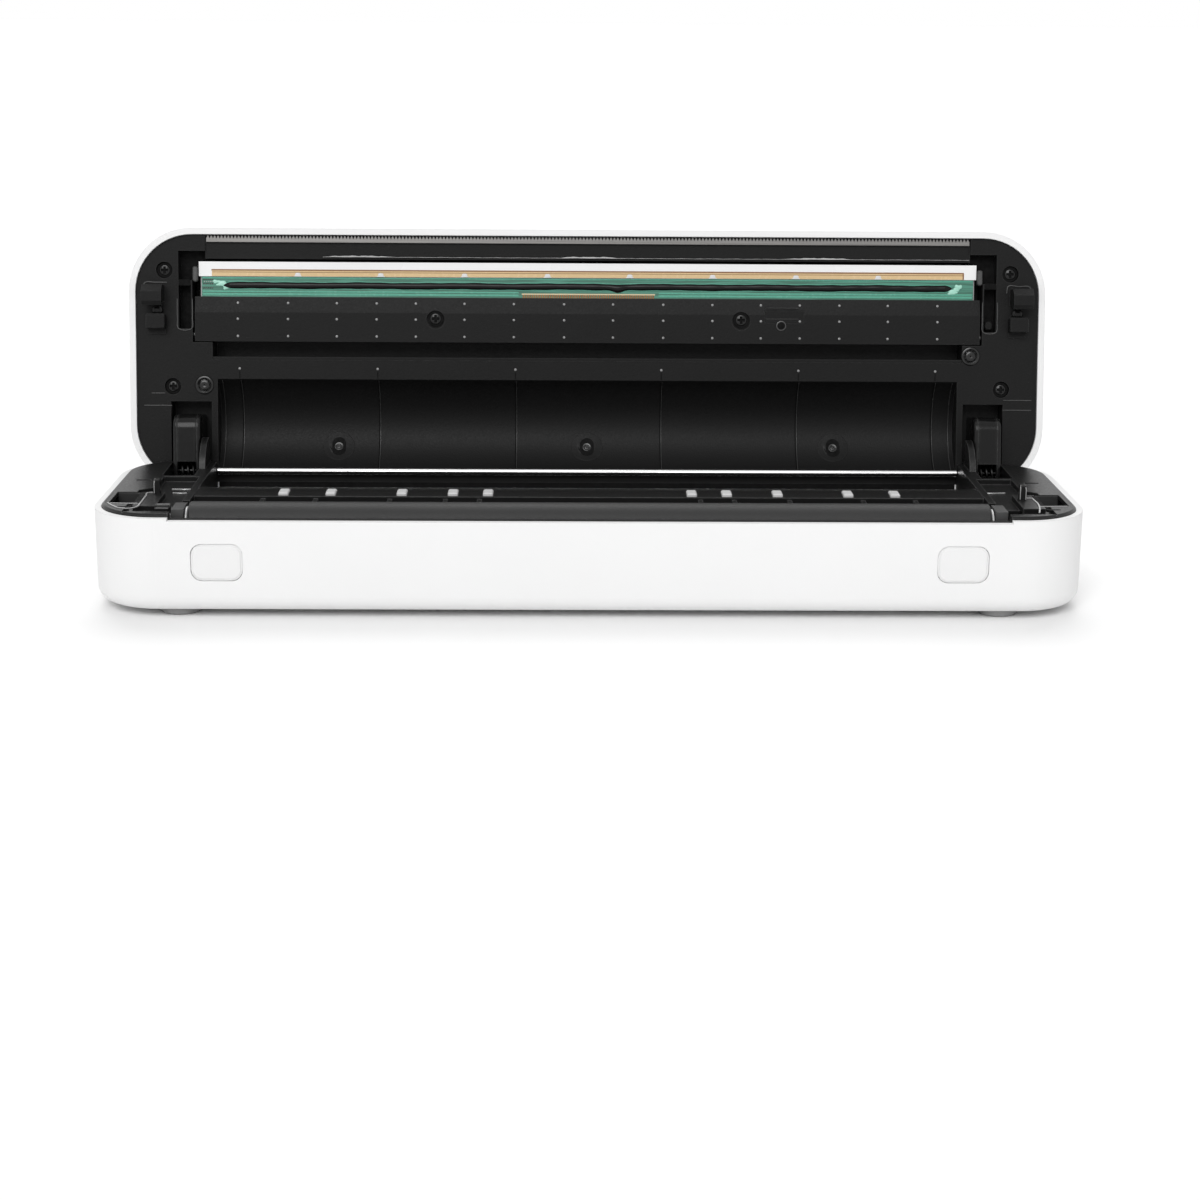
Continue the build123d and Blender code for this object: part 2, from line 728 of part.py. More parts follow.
# Steel plate that carries the motor and the idler's stud
with BuildPart() as gear_plate:
    plate_y = (slider_back_y + button_travel + 0.5, motor_at[0] + motor_r + 1.5)
    slab(base_plan, (-plate_x - plate_t, -plate_x), plate_y, (floor_z, deck_low_z - fit_gap))
    rods(base_side, ((-plate_x - plate_t, -plate_x),), motor_at, motor_shaft_r + 1, Mode.SUBTRACT)
    rods(base_side, ((-plate_x, -gear_x + 0.6),), idler_at, idler_stud_r)
finish(gear_plate, "gear_plate")

# Release buttons, with the latch sliders and springs behind them
for name, side in (("left", -1), ("right", 1)):
    with BuildPart() as release_button:
        with BuildSketch(base_front(fit_gap)):
            with Locations((side * button_x, button_z)):
                RectangleRounded(button_w, button_h, button_corner - button_gap)
        extrude(amount=-button_depth)
        chamfer(release_button.edges().group_by(Axis.Y)[0], length=0.4)
    finish(release_button, f"release_button_{name}")

    with BuildPart() as latch_slider:
        cap_back = fit_gap + button_depth
        reach = (slider_inner_x, button_x + button_w / 2)
        span = tuple(sorted(side * x for x in reach))
        slab(base_plan, span, (cap_back, slider_back_y), slider_z)
        span = tuple(sorted(side * x for x in (reach[1], latch_x[1])))
        slab(base_plan, span, (slider_corner_y, slider_back_y), slider_z)
        span = tuple(sorted(side * x for x in latch_x))
        slab(base_plan, span, (slider_corner_y, slider_back_y), (slider_z[0], latch_z[1]))
        slab(base_plan, span, (slider_corner_y, hook_y[1] + latch_tooth + latch_lip), latch_z)
        span = tuple(sorted(side * x for x in (latch_x[0], hook_slot_x[1] - 0.6)))
        tooth_y = hook_y[1] + move_gap
        slab(base_plan, span, (tooth_y + latch_lip, hook_y[1] + latch_lip + latch_tooth), latch_z)
        span = tuple(sorted(side * x for x in (hook_x[0], hook_slot_x[1] - 0.6)))
        lip_z = (latch_z[0], latch_z[0] + latch_tooth / 2)
        slab(base_plan, span, (tooth_y, hook_y[1] + 2 * latch_lip), lip_z)
    finish(latch_slider, f"latch_slider_{name}")

    with BuildPart() as latch_spring:
        with BuildSketch(base_front(slider_back_y)):
            with Locations((side * latch_spring_x, latch_spring_z)):
                Circle(latch_spring_r)
                Circle(latch_spring_bore, mode=Mode.SUBTRACT)
        extrude(amount=slider_back_y + guide_t / 2 - bulkhead_y)
    finish(latch_spring, f"latch_spring_{name}")

# Battery cells, main board with its parts, and the port board at the right end
with BuildPart() as battery_cells:
    half = cell_gap / 2
    rods(base_side, both(half, half + cell_len), (cell_y, floor_z + cell_r), cell_r)
    chamfer(battery_cells.edges().filter_by(GeomType.CIRCLE), length=0.6)
finish(battery_cells, "battery_cells")

with BuildPart() as main_board:
    slab(base_plan, (-board_half, board_half), board_y, (board_z, board_z + board_t))
finish(main_board, "main_board")

with BuildPart() as board_parts:
    top = board_z + board_t
    for x, y, size, height in board_parts_at:
        slab(base_plan, (x - size / 2, x + size / 2), (y - size / 2, y + size / 2), (top, top + height))
finish(board_parts, "board_parts")

with BuildPart() as port_board:
    slab(base_plan, port_board_x, port_board_y, (port_board_z, port_board_z + port_board_t))
    top = port_board_z + port_board_t
    switch_x = width / 2 - key_sink - key_depth - key_travel - move_gap
    half = key_switch[1] / 2
    slab(base_plan, (switch_x - key_switch[0], switch_x), (key_y - half, key_y + half), (top, key_z + 1.5))
finish(port_board, "port_board")

with BuildPart() as charging_socket:
    mouth_x = width / 2 - 0.2
    with BuildSketch(base_side(mouth_x - port_size[2])):
        with Locations((port_y, port_z)):
            RectangleRounded(port_size[0], port_size[1], port_size[1] / 2 - 0.05)
    extrude(amount=port_size[2])
    with BuildSketch(base_side(mouth_x - port_size[2] + 1)):
        with Locations((port_y, port_z)):
            inner_h = port_size[1] - 2 * port_skin
            RectangleRounded(port_size[0] - 2 * port_skin, inner_h, inner_h / 2 - 0.05)
            Rectangle(port_size[0] - 2.4, 0.7, mode=Mode.SUBTRACT)
    extrude(amount=port_size[2], mode=Mode.SUBTRACT)
finish(charging_socket, "charging_socket")

with BuildPart() as power_key:
    with BuildSketch(base_side(width / 2 - key_sink - key_depth)):
        with Locations((key_y, key_z)):
            SlotOverall(key_size[0], key_size[1])
    extrude(amount=key_depth)
    chamfer(power_key.edges().group_by(Axis.X)[-1], length=0.4)
finish(power_key, "power_key")

# Cover housing: a shallow shell with soft top edges
with BuildPart() as cover_shell:
    with BuildSketch(cover_plan(cover_rim_z)):
        outline(0)
    extrude(amount=cover_top_z - cover_rim_z)
    top_face = cover_shell.faces().sort_by(Axis(cover_origin, up_dir))[-1]
    fillet(top_face.edges(), radius=cover_edge_r)
    rim_face = cover_shell.faces().sort_by(Axis(cover_origin, up_dir))[0]
    offset(amount=-wall, openings=rim_face)
finish(cover_shell, "cover_shell")

# Cover frame: face panel, tray for the print head, roll trough and hinge recesses in one moulding
with BuildPart() as cover_frame:
    with BuildSketch(cover_plan(cover_face_z)):
        outline(wall + fit_gap)
    extrude(amount=panel_t)
    # Outer blocks of the recesses
    slab(
        cover_plan,
        (-tray_half - tray_wall, tray_half + tray_wall),
        (tray_y[0] - tray_wall, tray_y[1] + tray_wall),
        (cover_face_z, tray_ceiling_z + tray_wall),
    )
    slabs(
        cover_plan,
        (recess_x[0] - tray_wall, recess_x[1] + tray_wall),
        (recess_front_y - tray_wall, depth - wall - fit_gap),
        (cover_face_z, recess_top_z + tray_wall),
    )
    slabs(
        cover_plan,
        (gear_pocket_x[0], slot_x[1] + tray_wall),
        (cover_pocket_y[0] - tray_wall, slot_y[1] + tray_wall),
        (cover_face_z, slot_top_z + tray_wall),
    )
    with BuildSketch(cover_side(-bay_half - tray_wall)):
        with Locations((roll_y, roll_z)):
            Circle(ring_r)
        with Locations((roll_y, cover_face_z - roll_space_r)):
            Rectangle(4 * roll_space_r, 2 * roll_space_r, mode=Mode.SUBTRACT)
    extrude(amount=2 * (bay_half + tray_wall))
    # Their hollows
    slab(cover_plan, (-tray_half, tray_half), (tray_y[0], tray_step_y), (0, tray_ceiling_z), Mode.SUBTRACT)
    tray_low_half = bay_half + tray_low_side
    slab(cover_plan, (-tray_low_half, tray_low_half), tray_y, (0, tray_ceiling_z), Mode.SUBTRACT)
    slabs(cover_plan, recess_x, (recess_front_y, depth), (0, recess_top_z), Mode.SUBTRACT)
    slabs(cover_plan, (notch_half, slot_x[1]), cover_pocket_y, (0, slot_top_z), Mode.SUBTRACT)
    slabs(cover_plan, slot_x, slot_y, (0, slot_top_z), Mode.SUBTRACT)
    rods(cover_side, ((-bay_half, bay_half),), (roll_y, roll_z), roll_space_r, Mode.SUBTRACT)
    slab(cover_plan, (-notch_half, notch_half), (0, tray_y[0]), (0, cover_face_z + tear_t), Mode.SUBTRACT)
    # Latch hooks, each with a block behind it that fills the rest of its slot in the deck
    for side in (-1, 1):
        with BuildSketch(cover_side(side * hook_mid_x - hook_t / 2)):
            with BuildLine():
                Polyline(
                    (hook_y[0], cover_face_z + 1),
                    (hook_y[0], hook_z + 2),
                    (hook_y[0] + 2, hook_z),
                    (hook_y[1] - hook_barb, hook_z),
                    (hook_y[1], hook_z + 0.8),
                    (hook_y[1], latch_z[0] + 2.4),
                    (hook_y[1] - hook_barb, latch_z[0] + 2.4),
                    (hook_y[1] - hook_barb, cover_face_z + 1),
                    close=True,
                )
            make_face()
        extrude(amount=hook_t)
    slabs(cover_plan, stop_block_x, stop_block_y, (latch_z[1] + stop_block_gap, cover_face_z + 1))
    # Bosses that meet the housing's ceiling, with the screws' recesses in their faces
    with BuildSketch(cover_plan(cover_face_z)):
        with Locations(*cover_screws_at):
            Circle(cover_boss_r)
    extrude(amount=cover_top_z - wall - cover_face_z - 2 * fit_gap)
    with BuildSketch(cover_plan(cover_face_z)):
        with Locations(*cover_screws_at):
            Circle(cover_head_r + 0.4)
    extrude(amount=cover_head_sink, mode=Mode.SUBTRACT)
    with BuildSketch(cover_plan(cover_face_z)):
        with Locations(*cover_screws_at):
            Circle(screw_r + run_gap)
    extrude(amount=cover_head_sink + cover_screw_len + 0.5, mode=Mode.SUBTRACT)
    # Holes for the head's pivot pins
    pivot_bores = both(tray_half - 1, tray_half + tray_wall)
    rods(cover_side, pivot_bores, (pivot_y, pivot_z), pivot_r + run_gap, Mode.SUBTRACT)
    with BuildSketch(cover_plan(0)):
        outline(wall + fit_gap)
    extrude(amount=2 * cover_top_z, mode=Mode.INTERSECT)
finish(cover_frame, "cover_frame")

# Screws of the cover frame
with BuildPart() as cover_screws:
    with BuildSketch(cover_plan(cover_face_z + cover_head_sink - cover_head_h)):
        with Locations(*cover_screws_at):
            Circle(cover_head_r)
    extrude(amount=cover_head_h)
    with BuildSketch(cover_plan(cover_face_z + cover_head_sink)):
        with Locations(*cover_screws_at):
            Circle(screw_r)
    extrude(amount=cover_screw_len)
finish(cover_screws, "cover_screws")

# Serrated tear bar along the cover's front edge
with BuildPart() as tear_bar:
    with BuildSketch(cover_plan(cover_face_z)):
        with BuildLine():
            count = int(2 * tear_half / tooth_pitch)
            start_x = -count * tooth_pitch / 2
            teeth = []
            for tooth in range(count):
                teeth.append((start_x + tooth * tooth_pitch, tear_y + tooth_depth))
                teeth.append((start_x + (tooth + 0.5) * tooth_pitch, tear_y))
            teeth.append((-start_x, tear_y + tooth_depth))
            back = [(-start_x, tear_y + tear_w), (start_x, tear_y + tear_w)]
            Polyline(*teeth, *back, close=True)
        make_face()
    extrude(amount=tear_t)
finish(tear_bar, "tear_bar")

# Curved hinge arms on the shaft, each with a pocket for its torsion spring
with BuildPart() as hinge_arms:
    for start in (arm_x, -arm_x - arm_t):
        with BuildSketch(cover_side(start)):
            with BuildLine():
                heel = (axis_y + arm_eye_r * cos(radians(45)), axis_z - arm_eye_r * sin(radians(45)))
                low = axis_z - arm_eye_r
                nose = axis_y - arm_reach
                ThreePointArc((axis_y, low), (heel[0], heel[1]), (axis_y + arm_eye_r, axis_z))
                Line((axis_y + arm_eye_r, axis_z), (axis_y + arm_heel, cover_rim_z - move_gap))
                Line((axis_y + arm_heel, cover_rim_z - move_gap), (axis_y + arm_heel, recess_top_z))
                Line((axis_y + arm_heel, recess_top_z), (nose, recess_top_z))
                Line((nose, recess_top_z), (nose, low + arm_nose_r))
                RadiusArc((nose, low + arm_nose_r), (nose + arm_nose_r, low), -arm_nose_r)
                Line((nose + arm_nose_r, low), (axis_y, low))
            make_face()
        extrude(amount=arm_t)
    for middle in (-arm_mid_x, arm_mid_x):
        with BuildSketch(cover_side(middle - spring_pocket_w / 2)):
            with Locations((axis_y, axis_z)):
                Circle(spring_pocket_r)
            with Locations((axis_y, axis_z - spring_pocket_r)):
                Rectangle(4 * spring_pocket_r, 2 * spring_pocket_r)
        extrude(amount=spring_pocket_w, mode=Mode.SUBTRACT)
    rods(cover_side, both(arm_x - 1, arm_x + arm_t + 1), (axis_y, axis_z), shaft_r + run_gap, Mode.SUBTRACT)
finish(hinge_arms, "hinge_arms")

# Torsion springs round the shaft: a helix with a straight leg down to the floor of the bay
spring_leg = axis_z - rear_step_z - spring_seat_gap
with BuildPart() as hinge_springs:
    for side in (-1, 1):
        start_x = side * arm_mid_x - spring_pitch * spring_turns / 2
        centre = (start_x, front_y + axis_y, axis_z)
        with BuildLine() as wire:
            coil_len = spring_pitch * spring_turns
            coil = Helix(spring_pitch, coil_len, spring_mean_r, center=centre, direction=(1, 0, 0))
            Line(coil @ 1, coil @ 1 + (coil % 1) * spring_leg)
        with BuildSketch(Plane(origin=coil @ 0, z_dir=coil % 0)):
            RegularPolygon(spring_wire / 2, 6)
        sweep(path=wire.wires()[0])
finish(hinge_springs, "hinge_springs")

# Steel caps beside the print head
with BuildPart() as hold_down_cap:
    with BuildSketch(cover_plan(cover_face_z - cap_proud)):
        with Locations(*caps_at):
            Circle(cap_r)
    extrude(amount=cap_proud)
finish(hold_down_cap, "hold_down_cap")

# Print head: heat sink with pivot pins, ceramic strip, board, bead, ribbed cover and sensor
with BuildPart() as heat_sink:
    slab(cover_plan, (-sink_half, sink_half), sink_y, (sink_z, sink_z + sink_t))
    rods(cover_side, both(sink_half, tray_half + tray_wall - fit_gap), (pivot_y, pivot_z), pivot_r)
finish(heat_sink, "heat_sink")

with BuildPart() as ceramic_strip:
    slab(cover_plan, (-ceramic_half, ceramic_half), ceramic_y, (ceramic_z, sink_z))
finish(ceramic_strip, "ceramic_strip")

with BuildPart() as head_board:
    slab(cover_plan, (-head_board_half, head_board_half), head_board_y, (sink_z - head_board_t, sink_z))
finish(head_board, "head_board")

with BuildPart() as epoxy_bead:
    with BuildSketch(cover_side(-bead_half)):
        with BuildLine():
            base_z = sink_z - head_board_t
            ThreePointArc((bead_y - bead_r, base_z), (bead_y, base_z - bead_h), (bead_y + bead_r, base_z))
            Line((bead_y + bead_r, base_z), (bead_y - bead_r, base_z))
        make_face()
    extrude(amount=2 * bead_half)
finish(epoxy_bead, "epoxy_bead")

with BuildPart() as head_cover:
    with BuildSketch(cover_side(-head_cover_half)):
        with BuildLine():
            board_top = sink_z - head_board_t
            Polyline(
                (head_cover_y[0], board_top),
                (head_cover_y[0], head_cover_z + head_cover_low),
                (head_cover_step_y, head_cover_z),
                (head_cover_y[1], head_cover_z),
                (head_cover_y[1], sink_z),
                (head_board_y[1] + fit_gap, sink_z),
                (head_board_y[1] + fit_gap, board_top),
                close=True,
            )
        make_face()
    extrude(amount=2 * head_cover_half)
    with BuildSketch(cover_plan(head_cover_z)):
        with Locations((-head_screw_x, head_screw_y), (head_screw_x, head_screw_y)):
            Circle(screw_head_r + 0.3)
    extrude(amount=0.8, mode=Mode.SUBTRACT)
    slab(
        cover_plan,
        (sensor_x - sensor_size[0] / 2, sensor_x + sensor_size[0] / 2),
        (sensor_y - sensor_size[1] / 2, sensor_y + sensor_size[1] / 2),
        (head_cover_z - 1, sink_z),
        Mode.SUBTRACT,
    )
finish(head_cover, "head_cover")

with BuildPart() as head_screws:
    with BuildSketch(cover_plan(head_cover_z + 0.05)):
        with Locations((-head_screw_x, head_screw_y), (head_screw_x, head_screw_y)):
            Circle(screw_head_r)
    extrude(amount=0.75)
finish(head_screws, "head_screws")

with BuildPart() as paper_sensor:
    slab(
        cover_plan,
        (sensor_x - sensor_size[0] / 2 + fit_gap, sensor_x + sensor_size[0] / 2 - fit_gap),
        (sensor_y - sensor_size[1] / 2 + fit_gap, sensor_y + sensor_size[1] / 2 - fit_gap),
        (head_cover_z + 0.5, sink_z),
    )
finish(paper_sensor, "paper_sensor")

# Springs that press the head towards the platen
with BuildPart() as head_springs:
    with BuildSketch(cover_plan(sink_z + sink_t)):
        with Locations(*[(x, head_spring_y) for x in head_spring_xs]):
            Circle(head_spring_r)
            Circle(head_spring_r - 0.6, mode=Mode.SUBTRACT)
    extrude(amount=tray_ceiling_z - sink_z - sink_t)
finish(head_springs, "head_springs")
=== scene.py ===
import math

import bpy
import numpy as np
from mathutils import Matrix, Vector


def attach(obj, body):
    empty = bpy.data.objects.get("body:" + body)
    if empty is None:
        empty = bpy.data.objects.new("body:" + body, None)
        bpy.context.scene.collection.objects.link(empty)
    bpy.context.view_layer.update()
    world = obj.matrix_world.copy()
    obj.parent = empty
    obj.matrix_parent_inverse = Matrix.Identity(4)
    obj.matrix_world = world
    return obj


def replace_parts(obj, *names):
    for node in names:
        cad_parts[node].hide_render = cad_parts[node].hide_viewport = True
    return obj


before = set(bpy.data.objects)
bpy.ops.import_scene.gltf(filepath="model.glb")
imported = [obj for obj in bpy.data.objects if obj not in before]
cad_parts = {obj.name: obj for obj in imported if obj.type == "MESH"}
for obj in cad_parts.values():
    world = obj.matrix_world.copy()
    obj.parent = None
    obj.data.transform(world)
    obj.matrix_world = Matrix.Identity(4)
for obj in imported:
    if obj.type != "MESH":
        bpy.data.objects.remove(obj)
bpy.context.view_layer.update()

# Dimensions of the printer in millimetres: Y from its front face, Z from the table
MM = 0.001
FRONT_Y = -49.5711
AXIS_Y = 70.8
AXIS_Z = 25.9
OPEN_ANGLE = math.radians(100)
ROLL_Y = 57.2
ROLL_Z = 20.8
ROLL_R = 15.6
PLATEN_Y = 11.4
PLATEN_Z = 24.3
DECK_Z = 28.5
SUNK_DECK_Z = 26.9
FACE_Z = 28.9
RIM_Z = 28.1
CERAMIC_Z = 30.1
BOARD_Z = 30.5
RIBBED_Z = 29.3
RIBBED_STEP_Z = 29.85
GLAZE_END = 110.6
GLAZE_BACK_Y = 13.85
BOARD_END = 113.4
BUTTON_X = 99.6
SLOT_FLOOR = -3.95
STRIP_PIP_XS = (21.5, 62.0, 102.5)


# Places: a point of the base, and a point of the cover given where it lies when shut

def on_base(points):
    """Metres in the row frame, for points in millimetres measured from the base's front face."""
    p = np.asarray(points, float)
    return (p + np.array([0, FRONT_Y, 0])) * MM


def on_cover(points):
    """The same for a point of the shut cover, turned about the hinge axis by the opening angle."""
    p = np.asarray(points, float)
    dy, dz = p[..., 1] - AXIS_Y, p[..., 2] - AXIS_Z
    c, s = math.cos(OPEN_ANGLE), math.sin(OPEN_ANGLE)
    opened = np.stack([p[..., 0], AXIS_Y + dy * c + dz * s, AXIS_Z - dy * s + dz * c], -1)
    return on_base(opened)


# Camera at the photograph's viewing angle

CAMERA_AT = (-8.778, -606.657 + FRONT_Y, 167.075)
CAMERA_PITCH, CAMERA_YAW, CAMERA_ROLL = (math.radians(a) for a in (14.888, 1.0623, 0.432))
SENSOR_WIDTH = 36
FOCAL_PIXELS, PICTURE_PIXELS = 2345.63, 1200


def aim_camera():
    """Camera whose axis turns by yaw about Z, then down by pitch, and rolls about itself."""
    cos_yaw, sin_yaw = math.cos(CAMERA_YAW), math.sin(CAMERA_YAW)
    cos_pitch, sin_pitch = math.cos(CAMERA_PITCH), math.sin(CAMERA_PITCH)
    level, side = np.array([sin_yaw, cos_yaw, 0]), np.array([cos_yaw, -sin_yaw, 0])
    upright = np.array([0, 0, 1])
    ahead = level * cos_pitch - upright * sin_pitch
    top = level * sin_pitch + upright * cos_pitch
    right = side * math.cos(CAMERA_ROLL) + top * math.sin(CAMERA_ROLL)
    up = top * math.cos(CAMERA_ROLL) - side * math.sin(CAMERA_ROLL)
    lens = bpy.data.cameras.new("Camera")
    lens.sensor_width = SENSOR_WIDTH
    lens.lens = SENSOR_WIDTH * FOCAL_PIXELS / PICTURE_PIXELS
    lens.clip_start = 0.01
    camera = bpy.data.objects.new("Camera", lens)
    turn = Matrix((right, up, -ahead)).transposed().to_4x4()
    camera.matrix_world = Matrix.Translation(Vector(np.array(CAMERA_AT) * MM)) @ turn
    bpy.context.scene.collection.objects.link(camera)
    bpy.context.scene.camera = camera


aim_camera()


# Shader node groups

def new_group(name, inputs, outputs):
    """Empty node group with its sockets, and the inner ends of both."""
    group = bpy.data.node_groups.new(name, "ShaderNodeTree")
    for label, value in inputs:
        socket = group.interface.new_socket(name=label, in_out="INPUT", socket_type="NodeSocketFloat")
        socket.default_value = value
    for label, kind in outputs:
        group.interface.new_socket(name=label, in_out="OUTPUT", socket_type=kind)
    start = group.nodes.new("NodeGroupInput")
    end = group.nodes.new("NodeGroupOutput")
    return group, start.outputs, end.inputs


def add_node(tree, kind, values=None, **settings):
    """Node whose inputs are linked to the sockets given, or set to the values given."""
    node = tree.nodes.new(kind)
    for key, value in settings.items():
        setattr(node, key, value)
    for key, value in (values or {}).items():
        if isinstance(value, bpy.types.NodeSocket):
            tree.links.new(value, node.inputs[key])
        else:
            node.inputs[key].default_value = value
    return node


def object_place(tree):
    """Place in the object's own frame, in metres."""
    return add_node(tree, "ShaderNodeTexCoord").outputs["Object"]


def noise(tree, place, scale, detail=2.0, **extra):
    """Cloudy noise from 0 to 1, with the number of waves in a metre as its scale."""
    values = {"Vector": place, "Scale": scale, "Detail": detail, **extra}
    return add_node(tree, "ShaderNodeTexNoise", values).outputs[0]


def mix_colours(tree, factor, dark, light):
    """Colour that goes from dark to light with the factor."""
    values = {"Factor": factor, 6: dark, 7: light}
    return add_node(tree, "ShaderNodeMix", values, data_type="RGBA").outputs[2]


def map_range(tree, value, low, high, start=0.0, end=1.0):
    """Value that runs from low to high while the given one runs from start to end."""
    ends = {"Value": value, "From Min": start, "From Max": end, "To Min": low, "To Max": high}
    return add_node(tree, "ShaderNodeMapRange", ends).outputs[0]


def bumped(group, height, strength, distance, edge_radius):
    """Normal that the height moves, over a normal rounded at the edges."""
    edge = add_node(group, "ShaderNodeBevel", {"Radius": edge_radius}, samples=4).outputs[0]
    values = {"Height": height, "Strength": strength, "Distance": distance, "Normal": edge}
    return add_node(group, "ShaderNodeBump", values).outputs[0]


def make_moulded_group():
    """Spark texture of a moulding: fine noise gives the height, and slow noise gives the colour mask."""
    group, given, out = new_group(
        "moulded_texture",
        [("Grain", 2600.0), ("Height", 0.2), ("Edge", 0.0002)],
        [("Normal", "NodeSocketVector"), ("Cloud", "NodeSocketFloat"), ("Grain Mask", "NodeSocketFloat")],
    )
    place = object_place(group)
    fine = noise(group, place, given["Grain"])
    cloud = noise(group, place, 22.0, 3.0, Roughness=0.6)
    group.links.new(bumped(group, fine, given["Height"], 0.0002, given["Edge"]), out["Normal"])
    group.links.new(cloud, out["Cloud"])
    group.links.new(fine, out["Grain Mask"])
    return group


def make_brushed_group():
    """Lengthwise drawn lines: noise stretched along X, as height and as a mask."""
    group, given, out = new_group(
        "drawn_lines",
        [("Along", 40.0), ("Across", 3000.0), ("Height", 0.1)],
        [("Normal", "NodeSocketVector"), ("Lines", "NodeSocketFloat")],
    )
    factors = {"X": given["Along"], "Y": given["Across"], "Z": given["Across"]}
    scale = add_node(group, "ShaderNodeCombineXYZ", factors).outputs[0]
    values = {0: object_place(group), 1: scale}
    stretched = add_node(group, "ShaderNodeVectorMath", values, operation="MULTIPLY").outputs[0]
    lines = noise(group, stretched, 1.0)
    group.links.new(bumped(group, lines, given["Height"], 0.0001, 0.00015), out["Normal"])
    group.links.new(lines, out["Lines"])
    return group


def make_scuffs_and_sheen_group():
    """Mask that is bright where the rounded normal leaves the true one, broken up by noise. It lightens
    edges, partly as wear and partly as a painted highlight.
    """
    group, given, out = new_group(
        "edge_scuffs_and_sheen", [("Width", 0.0004), ("Amount", 0.5)], [("Mask", "NodeSocketFloat")]
    )
    wide = add_node(group, "ShaderNodeBevel", {"Radius": given["Width"]}, samples=4).outputs[0]
    true = add_node(group, "ShaderNodeNewGeometry").outputs["True Normal"]
    normals = {0: wide, 1: true}
    dot = add_node(group, "ShaderNodeVectorMath", normals, operation="DOT_PRODUCT").outputs["Value"]
    bend = add_node(group, "ShaderNodeMath", {0: 1.0, 1: dot}, operation="SUBTRACT").outputs[0]
    broken = noise(group, object_place(group), 600.0)
    grow = add_node(group, "ShaderNodeMath", {0: bend, 1: broken}, operation="MULTIPLY").outputs[0]
    values = {0: grow, 1: given["Amount"]}
    mask = add_node(group, "ShaderNodeMath", values, operation="MULTIPLY", use_clamp=True).outputs[0]
    group.links.new(mask, out["Mask"])
    return group


MOULDED = make_moulded_group()
DRAWN = make_brushed_group()
SCUFFS_AND_SHEEN = make_scuffs_and_sheen_group()


def place_group(tree, group, **values):
    """Node group in a material, with its inputs set."""
    node = tree.nodes.new("ShaderNodeGroup")
    node.node_tree = group
    for key, value in values.items():
        node.inputs[key].default_value = value
    return node.outputs


def new_material(name, **fixed):
    """Material with constants on its Principled shader."""
    material = bpy.data.materials.new(name)
    material.use_nodes = True
    shader = material.node_tree.nodes["Principled BSDF"]
    for key, value in fixed.items():
        shader.inputs[key.replace("_", " ")].default_value = value
    return material, material.node_tree, shader


def link_surface(tree, shader, colour, gloss, normal):
    """Colour, roughness and normal of the shader, each driven by its socket."""
    tree.links.new(colour, shader.inputs["Base Color"])
    tree.links.new(gloss, shader.inputs["Roughness"])
    tree.links.new(normal, shader.inputs["Normal"])


def shade(grey, warm=0.0):
    """Grey, made warmer by the share given."""
    return (grey * (1 + warm), grey, grey * (1 - warm), 1)


def moulding(name, dark, light, rough, grain=900, height=0.05, edge=0.0002, scuffs_and_sheen=0.0, scuffed_and_lit_grey=0.1,
             **fixed):
    """Moulded plastic or rubber: cloud drifts the colour from dark to light, grain moves the roughness,
    and edges turn towards a lighter grey, partly as wear and partly as a painted highlight."""
    material, tree, shader = new_material(name, **fixed)
    texture = place_group(tree, MOULDED, Grain=grain, Height=height, Edge=edge)
    colour = mix_colours(tree, texture["Cloud"], dark, light)
    if scuffs_and_sheen:
        # Lighter edges: partly wear, partly a painted highlight
        scuffed_and_lit = place_group(tree, SCUFFS_AND_SHEEN, Amount=scuffs_and_sheen, Width=edge * 2)
        colour = mix_colours(tree, scuffed_and_lit["Mask"], colour, shade(scuffed_and_lit_grey))
    gloss = map_range(tree, texture["Grain Mask"], *rough, start=0.3, end=0.7)
    link_surface(tree, shader, colour, gloss, texture["Normal"])
    return material


def drawn_metal(name, dark, light, rough, along=40.0, across=3000.0):
    """Drawn or ground metal: fine lines along X change its colour and roughness a little."""
    material, tree, shader = new_material(name, Metallic=1.0)
    lines = place_group(tree, DRAWN, Along=along, Across=across, Height=0.1)
    colour = mix_colours(tree, lines["Lines"], dark, light)
    gloss = map_range(tree, lines["Lines"], *rough)
    link_surface(tree, shader, colour, gloss, lines["Normal"])
    return material


def make_ceramic():
    """Glazed white strip, faintly mottled, with a clear coat."""
    material, tree, shader = new_material("ceramic_white", Coat_Weight=0.4, Coat_Roughness=0.08)
    texture = place_group(tree, MOULDED, Grain=900.0, Height=0.03, Edge=0.0001)
    colour = mix_colours(tree, texture["Cloud"], shade(0.84), shade(0.89))
    gloss = map_range(tree, texture["Cloud"], 0.2, 0.35)
    link_surface(tree, shader, colour, gloss, texture["Normal"])
    return material


def make_board():
    """Green solder mask over copper: fine traces along X show as a slightly lighter green."""
    material, tree, shader = new_material("board_green", Coat_Weight=0.5, Coat_Roughness=0.12)
    values = {0: object_place(tree), 1: (60.0, 2200.0, 2200.0)}
    stretched = add_node(tree, "ShaderNodeVectorMath", values, operation="MULTIPLY").outputs[0]
    traces = noise(tree, stretched, 1.0, 1.0)
    mask = map_range(tree, traces, 0.0, 1.0, start=0.48, end=0.56)
    colour = mix_colours(tree, mask, (0.014, 0.12, 0.075, 1), (0.04, 0.21, 0.145, 1))
    texture = place_group(tree, MOULDED, Grain=1200.0, Height=0.05, Edge=0.0001)
    gloss = map_range(tree, texture["Cloud"], 0.25, 0.4)
    link_surface(tree, shader, colour, gloss, texture["Normal"])
    return material


